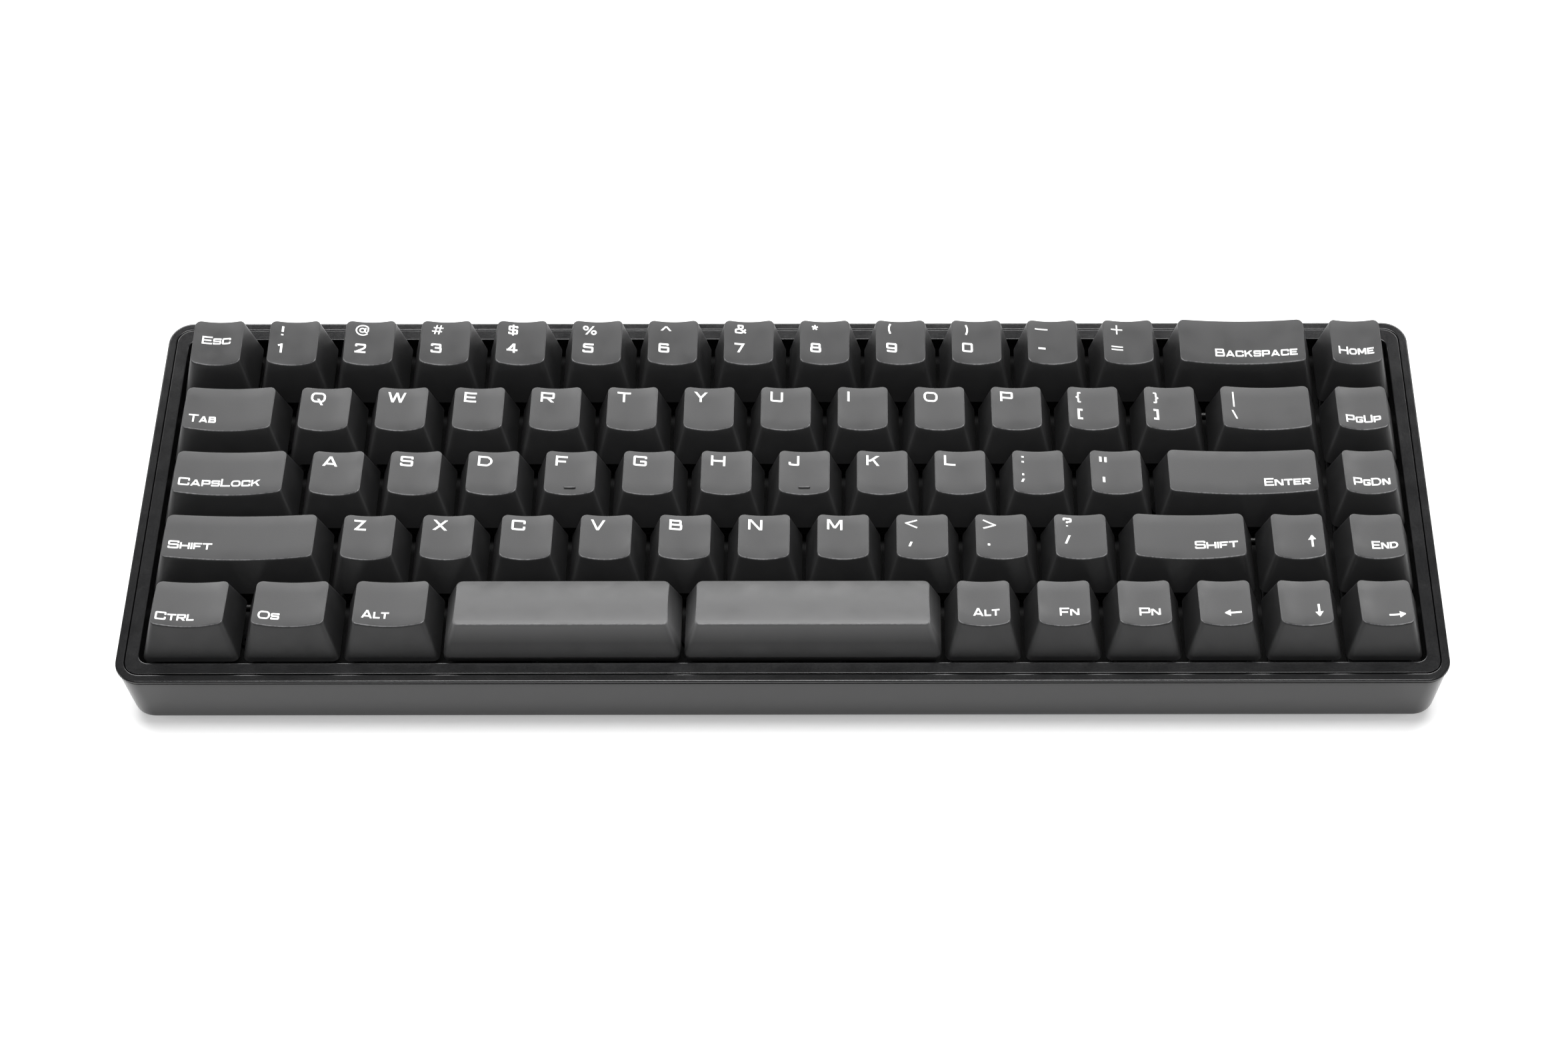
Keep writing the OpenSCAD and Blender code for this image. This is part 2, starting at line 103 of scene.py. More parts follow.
def standing(points):
    """Points in upright millimetres, to metres of the shared frame."""
    return np.asarray(points, float) * MM


# ---------- camera
CAM_AT = (18.22, -398.68, 581.86 + SKIRT)  # in the plate's frame
CAM_DOWN, CAM_YAW = math.radians(56.088), math.radians(0.0971)
CAM_LENS, CAM_SENSOR, CAM_SHIFT = 65.67, 36.0, -0.04987
cam = bpy.data.objects.new("camera", bpy.data.cameras.new("camera"))
bpy.context.scene.collection.objects.link(cam)
cam.data.lens, cam.data.sensor_width, cam.data.shift_x = CAM_LENS, CAM_SENSOR, CAM_SHIFT
cam.data.clip_start, cam.data.clip_end = 0.01, 20.0
cam.location = leaning([CAM_AT])[0]
sight = ROT @ np.array([math.sin(CAM_YAW) * math.cos(CAM_DOWN),
                        math.cos(CAM_YAW) * math.cos(CAM_DOWN), -math.sin(CAM_DOWN)])
cam.rotation_mode = "QUATERNION"
cam.rotation_quaternion = Vector(sight).to_track_quat("-Z", "Y")
bpy.context.scene.camera = cam


# ---------- materials
CLOUD_SIZE, SPECK_SIZE, STREAK_SIZE = 0.006, 0.0009, 0.0004  # metres, the size of each pattern's features
POLISH = 0.12  # how much smoother a worn edge is


def nodes_of(name):
    """A new material, with its node tree, its shader and its object coordinates."""
    m = bpy.data.materials.new(name)
    m.use_nodes = True
    tree = m.node_tree
    bsdf = tree.nodes["Principled BSDF"]
    coord = tree.nodes.new("ShaderNodeTexCoord")
    return m, tree, bsdf, coord.outputs["Object"]


def noise(tree, coord, size, detail=2.0, rough=0.5, stretch=None):
    """Noise whose features are about size metres across."""
    n = tree.nodes.new("ShaderNodeTexNoise")
    n.inputs["Scale"].default_value = 1.0 / size
    n.inputs["Detail"].default_value = detail
    n.inputs["Roughness"].default_value = rough
    if stretch:
        mapping = tree.nodes.new("ShaderNodeMapping")
        mapping.inputs["Scale"].default_value = stretch
        tree.links.new(coord, mapping.inputs["Vector"])
        coord = mapping.outputs["Vector"]
    tree.links.new(coord, n.inputs["Vector"])
    return n.outputs["Fac"]


def span(tree, value, lo, hi, src=(0.25, 0.75)):
    """Maps the source range to lo..hi, and holds it there outside."""
    r = tree.nodes.new("ShaderNodeMapRange")
    r.inputs["From Min"].default_value, r.inputs["From Max"].default_value = src
    r.inputs["To Min"].default_value, r.inputs["To Max"].default_value = lo, hi
    tree.links.new(value, r.inputs["Value"])
    return r.outputs["Result"]


def mix_colour(tree, fac, a, b):
    m = tree.nodes.new("ShaderNodeMix")
    m.data_type = "RGBA"
    for socket, value in ((m.inputs[6], a), (m.inputs[7], b)):
        if isinstance(value, tuple):
            socket.default_value = (*value, 1)
        else:
            tree.links.new(value, socket)
    tree.links.new(fac, m.inputs[0])
    return m.outputs[2]


def maths(tree, op, a, b):
    m = tree.nodes.new("ShaderNodeMath")
    m.operation = op
    for socket, value in zip(m.inputs, (a, b)):
        if isinstance(value, (int, float)):
            socket.default_value = value
        else:
            tree.links.new(value, socket)
    return m.outputs[0]


def bump(tree, bsdf, height, distance, strength=1.0):
    b = tree.nodes.new("ShaderNodeBump")
    b.inputs["Distance"].default_value = distance
    b.inputs["Strength"].default_value = strength
    tree.links.new(height, b.inputs["Height"])
    tree.links.new(b.outputs["Normal"], bsdf.inputs["Normal"])


def plastic(name, colour, rough, grain=0.00025, depth=0.000012, mottle=0.12, wear_and_highlight=0.0,
            specular=0.5, swing=0.06, painted_sheen_strip=None):
    """Moulded plastic: cloudy colour, a fine spark-eroded grain, and edges polished by use, with a painted
    highlight.

    wear says how much paler the points with an edge weight are: partly scuffing, partly a painted
    highlight. rubbed is (y where it begins, y where it is full, y where it ends, colour), for a strip
    that is painted paler and smoother: a painted sheen.
    """
    m, tree, bsdf, coord = nodes_of(name)
    cloud = noise(tree, coord, CLOUD_SIZE, 3.0)
    fine = noise(tree, coord, grain, 2.0, 0.6)
    dark = tuple(c * (1 - mottle) for c in colour)
    light = tuple(c * (1 + mottle) for c in colour)
    tint = mix_colour(tree, span(tree, cloud, 0.0, 1.0), dark, light)
    gloss = maths(tree, "ADD", span(tree, cloud, rough - swing, rough + swing),
                  span(tree, fine, -0.04, 0.04))
    # A strip along y is painted paler and made smoother: a painted sheen on the space bars' fronts.
    if painted_sheen_strip:
        split = tree.nodes.new("ShaderNodeSeparateXYZ")
        tree.links.new(coord, split.inputs["Vector"])
        begins, full, ends, painted_sheen_tint = painted_sheen_strip
        share = maths(tree, "MINIMUM", span(tree, split.outputs["Y"], 0.0, 1.0, (begins, full)),
                      span(tree, split.outputs["Y"], 1.0, 0.0, (full, ends)))
        tint = mix_colour(tree, share, tint, painted_sheen_tint)
        gloss = maths(tree, "SUBTRACT", gloss, maths(tree, "MULTIPLY", share, POLISH))
    # Points with an edge weight are painted paler: partly scuffing, partly a painted highlight where edges
    # catch the light.
    if wear_and_highlight:
        edge = tree.nodes.new("ShaderNodeAttribute")
        edge.attribute_name = "edge"
        speck = span(tree, noise(tree, coord, SPECK_SIZE, 3.0, 0.7), 0.25, 1.0, (0.4, 0.62))
        worn_and_highlight = maths(tree, "MULTIPLY", edge.outputs["Fac"], speck)
        worn_highlight_tint = tuple(min(1.0, c * (1 + wear_and_highlight)) for c in colour)
        tint = mix_colour(tree, worn_and_highlight, tint, worn_highlight_tint)
        gloss = maths(tree, "SUBTRACT", gloss, maths(tree, "MULTIPLY", worn_and_highlight, POLISH))
    tree.links.new(tint, bsdf.inputs["Base Color"])
    tree.links.new(gloss, bsdf.inputs["Roughness"])
    bsdf.inputs["Specular IOR Level"].default_value = specular
    bump(tree, bsdf, fine, depth)
    return m


def metal(name, colour, rough, stretch=(1, 1, 1), depth=0.000004):
    """Metal with fine drawn or rolled streaks."""
    m, tree, bsdf, coord = nodes_of(name)
    streak = noise(tree, coord, STREAK_SIZE, 3.0, 0.6, stretch)
    cloud = noise(tree, coord, 0.004, 2.0)
    tint = mix_colour(tree, span(tree, cloud, 0.0, 1.0), tuple(c * 0.88 for c in colour), colour)
    tree.links.new(tint, bsdf.inputs["Base Color"])
    tree.links.new(span(tree, streak, rough - 0.08, rough + 0.1), bsdf.inputs["Roughness"])
    bsdf.inputs["Metallic"].default_value = 1.0
    bump(tree, bsdf, streak, depth)
    return m


# The caps' edge weight paints a painted highlight along the front edges of their tops, with some scuffing.
CAP = plastic("keycap_pbt", (0.017, 0.017, 0.0175), 0.42, grain=0.00022, depth=0.000010, mottle=0.05,
              wear_and_highlight=9.0)
# The space bars are the caps' PBT painted a little paler, as painted light, with a painted sheen strip near
# their front edge.
SPACE = plastic("spacebar_pbt", (0.021, 0.021, 0.0215), 0.50, grain=0.00022, depth=0.000010, mottle=0.05,
                wear_and_highlight=8.0, painted_sheen_strip=(-0.031, -0.0425, -0.0455, (0.105, 0.105, 0.106)))
# The case's edge weight paints a faint painted highlight on its rim edges, with some scuffing.
CASE = plastic("case_satin", (0.008, 0.008, 0.0085), 0.215, grain=0.00035, depth=0.000010, mottle=0.05,
               wear_and_highlight=2.0, swing=0.03)
INK = plastic("legend_ink", (0.86, 0.86, 0.85), 0.5, grain=0.0002, depth=0.000006, mottle=0.03)
STEM = plastic("stem_pom", (0.020, 0.020, 0.021), 0.35, grain=0.0004, depth=0.000006)
HOUSING_BLACK = plastic("housing_nylon", (0.016, 0.016, 0.017), 0.45, grain=0.0003, depth=0.000010)
HOUSING_SMOKE = plastic("housing_upper", (0.035, 0.035, 0.036), 0.45, grain=0.0004, depth=0.000006)
BOARD = plastic("solder_mask", (0.012, 0.020, 0.016), 0.30, grain=0.0006, depth=0.000008)
RUBBER = plastic("foot_rubber", (0.018, 0.018, 0.018), 0.75, grain=0.00045, depth=0.00003, specular=0.3)
PLATE = plastic("plate_powder_coat", (0.004, 0.004, 0.004), 0.7, grain=0.0003, depth=0.00002,
                specular=0.25)
SPRING = metal("spring_steel", (0.62, 0.61, 0.59), 0.3, (1, 1, 8))
WIRE = metal("stabilizer_wire_dull", (0.10, 0.10, 0.098), 0.45, (8, 1, 1))
SOCKET = metal("socket_nickel", (0.66, 0.66, 0.65), 0.32, (4, 1, 1))
SCREW = metal("screw_black_oxide", (0.012, 0.012, 0.0125), 0.6)


# ---------- mesh helpers
SMOOTH, SMOOTH_CAP, SMOOTH_CASE = 35.0, 50.0, 40.0  # degrees: sharper edges aren't shaded round


class Shape:
    """Collects points and faces of one piece, in millimetres of one frame."""

    def __init__(self, place=leaning):
        self.points, self.faces, self.edge, self.place = [], [], [], place
        self.count = 0

    def add(self, points, edge=0.0):
        """Adds points with their weight of scuffing and painted highlight, and gives their numbers."""
        points = np.asarray(points, float)
        first = self.count
        self.points.append(self.place(points))
        self.edge.append(np.array(np.broadcast_to(edge, len(points)), float))
        self.count += len(points)
        return list(range(first, self.count))

    def bridge(self, low, high):
        """Quads between two rings of equal length."""
        n = len(low)
        self.faces += [(low[i], low[(i + 1) % n], high[(i + 1) % n], high[i]) for i in range(n)]

    def cover(self, ring, up=True):
        self.faces.append(tuple(ring) if up else tuple(reversed(ring)))

    def loft(self, rings, edges=None, close_low=True, close_high=True):
        """A skin through rings of equal length, wound so that the last ring is on top."""
        ids = [self.add(r, edges[i] if edges else 0.0) for i, r in enumerate(rings)]
        for a, b in zip(ids, ids[1:]):
            self.bridge(a, b)
        if close_low:
            self.cover(ids[0], False)
        if close_high:
            self.cover(ids[-1], True)
        return ids

    def make(self, name, material, smooth=SMOOTH):
        mesh = bpy.data.meshes.new(name)
        mesh.from_pydata(np.concatenate(self.points).tolist(), [], self.faces)
        mesh.attributes.new("edge", "FLOAT", "POINT").data.foreach_set(
            "value", np.concatenate(self.edge).astype(np.float32))
        mesh.validate()
        obj = bpy.data.objects.new(name, mesh)
        bpy.context.scene.collection.objects.link(obj)
        mesh.materials.append(material)
        finish_mesh(obj, smooth)
        return obj


def finish_mesh(obj, smooth):
    """Outward normals, and smooth shading except over edges sharper than the given angle."""
    bm = bmesh.new()
    bm.from_mesh(obj.data)
    bmesh.ops.recalc_face_normals(bm, faces=bm.faces)
    limit = math.radians(smooth)
    for f in bm.faces:
        f.smooth = True
    for e in bm.edges:
        e.smooth = not (len(e.link_faces) == 2 and e.calc_face_angle(0.0) > limit)
    bm.to_mesh(obj.data)
    bm.free()
    obj.data.update()


def with_z(outline, z):
    """2-D outline to 3-D at height z, a number or one per point."""
    return np.column_stack([outline, np.broadcast_to(z, len(outline))])


def oblong(half_w, y0, y1, r_front, r_back, nx=1, ny=1, k=6):
    """Points round an oblong with rounded corners, anticlockwise from its front left.

    nx and ny points on each side, and k on each corner.
    """
    def arc(cx, cy, r, start):
        a = np.radians(start + 90 * np.arange(k) / k)
        return np.column_stack([cx + r * np.cos(a), cy + r * np.sin(a)])

    def side(p, q, n):
        t = np.arange(n)[:, None] / n
        return np.array(p) * (1 - t) + np.array(q) * t

    w, f, b = half_w, r_front, r_back
    return np.vstack([
        side((-w + f, y0), (w - f, y0), nx), arc(w - f, y0 + f, f, -90),
        side((w, y0 + f), (w, y1 - b), ny), arc(w - b, y1 - b, b, 0),
        side((w - b, y1), (-w + b, y1), nx), arc(-w + b, y1 - b, b, 90),
        side((-w, y1 - b), (-w, y0 + f), ny), arc(-w + f, y0 + f, f, 180)])


def box_outline(half_w, half_d, r, **kw):
    return oblong(half_w, -half_d, half_d, r, r, **kw)


def stadium(length, width, k=10):
    return box_outline(length / 2, width / 2, width / 2 - 0.001, k=k)


# ---------- key layout
def keys_layout():
    """Every key as (name, node, x, y, units, row), in the plate's frame."""
    number = list("1234567890") + ["minus", "equals"]
    rows = [
        [("esc", 1)] + [(n, 1) for n in number] + [("backspace", 2), ("home", 1)],
        [("tab", 1.5)] + [(c, 1) for c in "qwertyuiop"]
        + [("bracket_left", 1), ("bracket_right", 1), ("backslash", 1.5), ("page_up", 1)],
        [("caps_lock", 1.75)] + [(c, 1) for c in "asdfghjkl"]
        + [("semicolon", 1), ("quote", 1), ("enter", 2.25), ("page_down", 1)],
        [("shift_left", 2.25)] + [(c, 1) for c in "zxcvbnm"]
        + [("comma", 1), ("period", 1), ("slash", 1), ("shift_right", 1.75), ("arrow_up", 1), ("end", 1)],
        [("ctrl", 1.25), ("os", 1.25), ("alt_left", 1.25), ("space_left", 3), ("space_right", 3.25),
         ("alt_right", 1), ("fn", 1), ("pn", 1), ("arrow_left", 1), ("arrow_down", 1), ("arrow_right", 1)],
    ]
    group = {n: "number_row_keys" for n in number}
    group.update({n: "punctuation_keys" for n in (
        "bracket_left", "bracket_right", "backslash", "semicolon", "quote", "comma", "period", "slash")})
    group.update({n: "navigation_keys" for n in ("home", "page_up", "page_down", "end")})
    found = []
    for r, row in enumerate(rows):
        x = -FIELD_HALF_W
        for name, units in row:
            found.append((name, group.get(name, "key_" + name), x + units * PITCH / 2,
                          FIELD_HALF_D - (r + 0.5) * PITCH, units, r))
            x += units * PITCH
    return found


def stab_reach(units):
    """From the key's middle to its outer stems, or 0 where it has only one stem."""
    return PITCH if units >= 3 else STAB_REACH_2U if units >= 2 else 0.0


# ---------- keycaps
class Cap:
    """The outer surface of one keycap: its skirt is at z = 0 and its middle at x = y = 0."""

    def __init__(self, units, row):
        self.extra = (units - 1) * PITCH / 2
        self.half = CAP_TOP / 2 + self.extra
        self.front, self.back = TOP_HEIGHTS[row]
        self.is_space = units >= 3

    def plane(self, y):
        """Height of the side edges of the top."""
        return self.front + (self.back - self.front) * (y - TOP_FRONT) / (TOP_BACK - TOP_FRONT)

    def top(self, x, y):
        """Height of the top surface: a scoop from side to side, or a crown on a space bar."""
        if self.is_space:
            off = y - (TOP_FRONT + TOP_BACK) / 2
            return self.plane(y) + CROWN_RISE - (CROWN_R - np.sqrt(CROWN_R * CROWN_R - off * off))
        return self.plane(y) - DISH * (1 - np.minimum(1.0, (x / self.half) ** 2))

    def rings(self):
        """Rings from the skirt up to the edge of the top, their scuffing and painted highlight, and how they
        are divided.
        """
        step = 1.0 if self.extra < 3 else 1.8
        kw = dict(nx=max(12, int(round(2 * self.half / step))), ny=8, k=7)
        e, c = self.extra, CAP_BEVEL
        base = oblong(CAP_BASE / 2 + e, -CAP_BASE / 2, CAP_BASE / 2, *FOOT_R, **kw)
        low = oblong(CAP_BASE / 2 + e - c, c - CAP_BASE / 2, CAP_BASE / 2 - c, *SKIRT_R, **kw)
        top = oblong(self.half, TOP_FRONT, TOP_BACK, *TOP_R, **kw)
        inner = oblong(self.half - EDGE_SIDE, TOP_FRONT + EDGE_FRONT, TOP_BACK - EDGE_BACK, *INNER_R, **kw)
        foot_z = SPACE_FOOT if self.is_space else CAP_BEVEL
        foot = with_z(base, foot_z)
        head = with_z(top, self.plane(top[:, 1]))
        t = np.ones(len(top))
        for _ in range(8):  # closes in on where the walls meet the top
            p = foot + (head - foot) * t[:, None]
            t = (self.top(p[:, 0], p[:, 1]) - foot_z) / (head[:, 2] - foot_z)
        rim = foot + (head - foot) * t[:, None]
        length = np.linalg.norm(rim - foot, axis=1)[:, None]
        down = (foot - rim) / length
        on_top = rim[:, :2] + (inner - top)
        flat = with_z(on_top, self.top(on_top[:, 0], on_top[:, 1]))
        front = np.clip((TOP_FRONT + 1.5 - rim[:, 1]) / 1.2, 0.0, 1.0)  # paler toward the front edge: a painted highlight, with some scuffing
        wall = rim + down * (0.24 + 0.12 * front)[:, None]  # the rounding is wider there
        rings = [with_z(low, 0.0), with_z(base, c)]
        edges = [0.0, 0.0]
        if self.is_space:
            rings += [with_z(base, 0.35), with_z(base, foot_z - c), foot + (rim - foot) * 0.012]
            edges += [0.0, 0.0, 0.0]
        rings += [foot + (rim - foot) * 0.45, rim + down * 0.75]
        edges += [0.0, 0.0]
        # The weights paint a thin paler line on the front rounding: a painted highlight, with some scuffing.
        for s, worn_and_highlight in ((0.0, 0.0), (0.2, 0.0), (0.4, 0.35), (0.6, 1.0), (0.8, 0.1), (1.0, 0.0)):
            rings.append(wall * (1 - s) ** 2 + rim * 2 * s * (1 - s) + flat * s * s)
            edges.append(front * worn_and_highlight)
        return rings, edges, kw

    def crown(self, shape, ring, flat, kw, at):
        """Fills the top with a grid whose lines run from the front of its rim to the back."""
        n, k = len(ring), kw["k"]
        twin = 2 * kw["nx"] + 2 * k + kw["ny"]  # the two ends of a grid line add up to this
        start = -(k + kw["ny"] // 2)
        rows = 12 if self.is_space else 4  # a crown bends along these lines, a scoop doesn't
        lines = []
        for i in range(start, start + n // 2 + 1):
            a, b = i % n, (twin - i) % n
            if a == b:
                lines.append([ring[a]] * (rows + 1))
                continue
            p = flat[a, :2] + (flat[b, :2] - flat[a, :2]) * (np.arange(1, rows) / rows)[:, None]
            lines.append([ring[a]] + shape.add(with_z(p, self.top(p[:, 0], p[:, 1])) + at) + [ring[b]])
        for one, two in zip(lines, lines[1:]):
            for j in range(rows):
                face = [one[j], two[j], two[j + 1], one[j + 1]]
                shape.faces.append(tuple(dict.fromkeys(face)))

    def build(self, shape, x, y):
        """The whole cap with its hollow inside, its middle at x, y."""
        at = np.array([x, y, SKIRT])
        rings, edges, kw = self.rings()
        ids = shape.loft([r + at for r in rings], edges, close_low=False, close_high=False)
        self.crown(shape, ids[-1], rings[-1], kw, at)
        e, t = self.extra, CAP_WALL
        hollow_low = oblong(CAP_BASE / 2 + e - t, t - CAP_BASE / 2, CAP_BASE / 2 - t, 0.7, 0.8, **kw)
        hollow_high = oblong(self.half - 0.6 * t, TOP_FRONT + t / 2, TOP_BACK - t, 0.8, 1.0, **kw)
        ceiling = self.plane(hollow_high[:, 1]) - DISH - CAP_SHELL
        inner = [shape.add(with_z(outline, z) + at) for outline, z in
                 ((hollow_low, 0.0), (hollow_high, ceiling - 0.5), (hollow_high * 0.96, ceiling))]
        shape.bridge(inner[0], ids[0])
        shape.bridge(inner[1], inner[0])
        shape.bridge(inner[2], inner[1])
        shape.cover(inner[2], False)
        self.posts(shape, at)

    def posts(self, shape, at):
        """Round posts with a cross-shaped socket, which hold the cap on the stem."""
        arm, t = SOCKET_ARM, SOCKET_HALF_T
        quarter = np.array([(arm, -t), (arm, t), (t, t)])
        cross = np.vstack([quarter @ np.array([[c, s], [-s, c]])
                           for c, s in ((1, 0), (0, 1), (-1, 0), (0, -1))])
        angle = np.arctan2(cross[:, 1], cross[:, 0])
        ring = np.column_stack([np.cos(angle), np.sin(angle)]) * POST_R
        top = self.plane(0.0) - DISH - POST_SHELL
        reach = stab_reach(2 * self.extra / PITCH + 1)
        for x in ([-reach, 0, reach] if reach else [0]):
            o = at + np.array([x, 0, 0])
            outer = [shape.add(with_z(ring * s, z) + o) for s, z in
                     ((0.96, POST_Z), (1.0, POST_Z + 0.1), (1.0, top))]
            hole = [shape.add(with_z(cross, z) + o) for z in (POST_Z, SOCKET_TOP)]
            shape.bridge(outer[0], outer[1])
            shape.bridge(outer[1], outer[2])
            shape.cover(outer[2], True)
            shape.bridge(hole[0], outer[0])
            shape.bridge(hole[1], hole[0])
            shape.cover(hole[1], False)


def homing_bar(shape, cap, x, y):
    """A low rounded bar near the front edge of the top."""
    rings = []
    for z, grow in ((-0.25, 0.0), (0.10, 0.0), (0.24, -0.07), (0.30, -0.2)):  # above the top, and wider
        p = box_outline(1.45 + grow, 0.30 + grow, max(0.05, 0.29 + grow), nx=6, k=4)
        p = p + np.array([0.0, TOP_FRONT + 1.75])
        rings.append(with_z(p, cap.top(p[:, 0], p[:, 1]) + z) + np.array([x, y, SKIRT]))
    # The bar's top rings are painted paler: a painted highlight, with some scuffing.
    shape.loft(rings, [0, 0, 0.2, 0.2])


# ---------- stems under the keycaps
def block(shape, at, w, d, z0, z1, r=0.3):
    """An upright block with rounded corners and softened ends."""
    c = 0.12
    full = box_outline(w / 2, d / 2, r, k=3)
    small = box_outline(w / 2 - c, d / 2 - c, max(0.05, r - c), k=3)
    shape.loft([with_z(small, z0) + at, with_z(full, z0 + c) + at, with_z(full, z1 - c) + at,
                with_z(small, z1) + at])


def cross_bar(shape, at, z0, z1):
    """The cross that a cap's socket is pressed on."""
    for w, d in ((CROSS_LEN, CROSS_T), (CROSS_T, CROSS_LEN)):
        block(shape, at, w, d, z0, z1, 0.14)


def stem_shapes(shape, x, y, units):
    """A key's sliding stem, hollow for its spring, and the outer stems of a long key."""
    at = np.array([x, y, 0.0])
    outer = box_outline(STEM_HALF_W, STEM_HALF_D, 0.5, k=4, nx=2, ny=2)
    angle = np.arctan2(outer[:, 1], outer[:, 0])
    bore = np.column_stack([STEM_BORE_R * np.cos(angle), STEM_BORE_R * np.sin(angle)])
    wall = [shape.add(with_z(outer * s, z) + at) for s, z in
            ((1, STEM_FOOT), (1, SHOULDER - 0.15), (0.97, SHOULDER))]
    hole = [shape.add(with_z(bore, z) + at) for z in (STEM_FOOT, STEM_BORE_TOP)]
    shape.bridge(wall[0], wall[1])
    shape.bridge(wall[1], wall[2])
    shape.cover(wall[2], True)
    shape.bridge(hole[0], wall[0])
    shape.bridge(hole[1], hole[0])
    shape.cover(hole[1], False)
    block(shape, at, NECK_W, NECK_D, SHOULDER - 0.05, HOUSING_TOP)
    cross_bar(shape, at, HOUSING_TOP - 0.05, HOUSING_TOP + CROSS_H)
    reach = stab_reach(units)
    for side in ((-reach, reach) if reach else ()):
        o = at + np.array([side, 0, 0])
        block(shape, o, STAB_W, STAB_D, -0.3, HOUSING_TOP)
        cross_bar(shape, o, HOUSING_TOP - 0.05, HOUSING_TOP + CROSS_H)


# ---------- lettering, drawn with strokes
LOW, HIGH = -1, 2  # codes for the very edge of a letter's box, half a stroke past 0 or 1
RING = [(0, 0), (0, 1), (1, 1), (1, 0)]
ROUND = [(0, 0.26), (0, 0.74), (0.17, 1), (0.83, 1), (1, 0.74), (1, 0.26), (0.83, 0), (0.17, 0)]
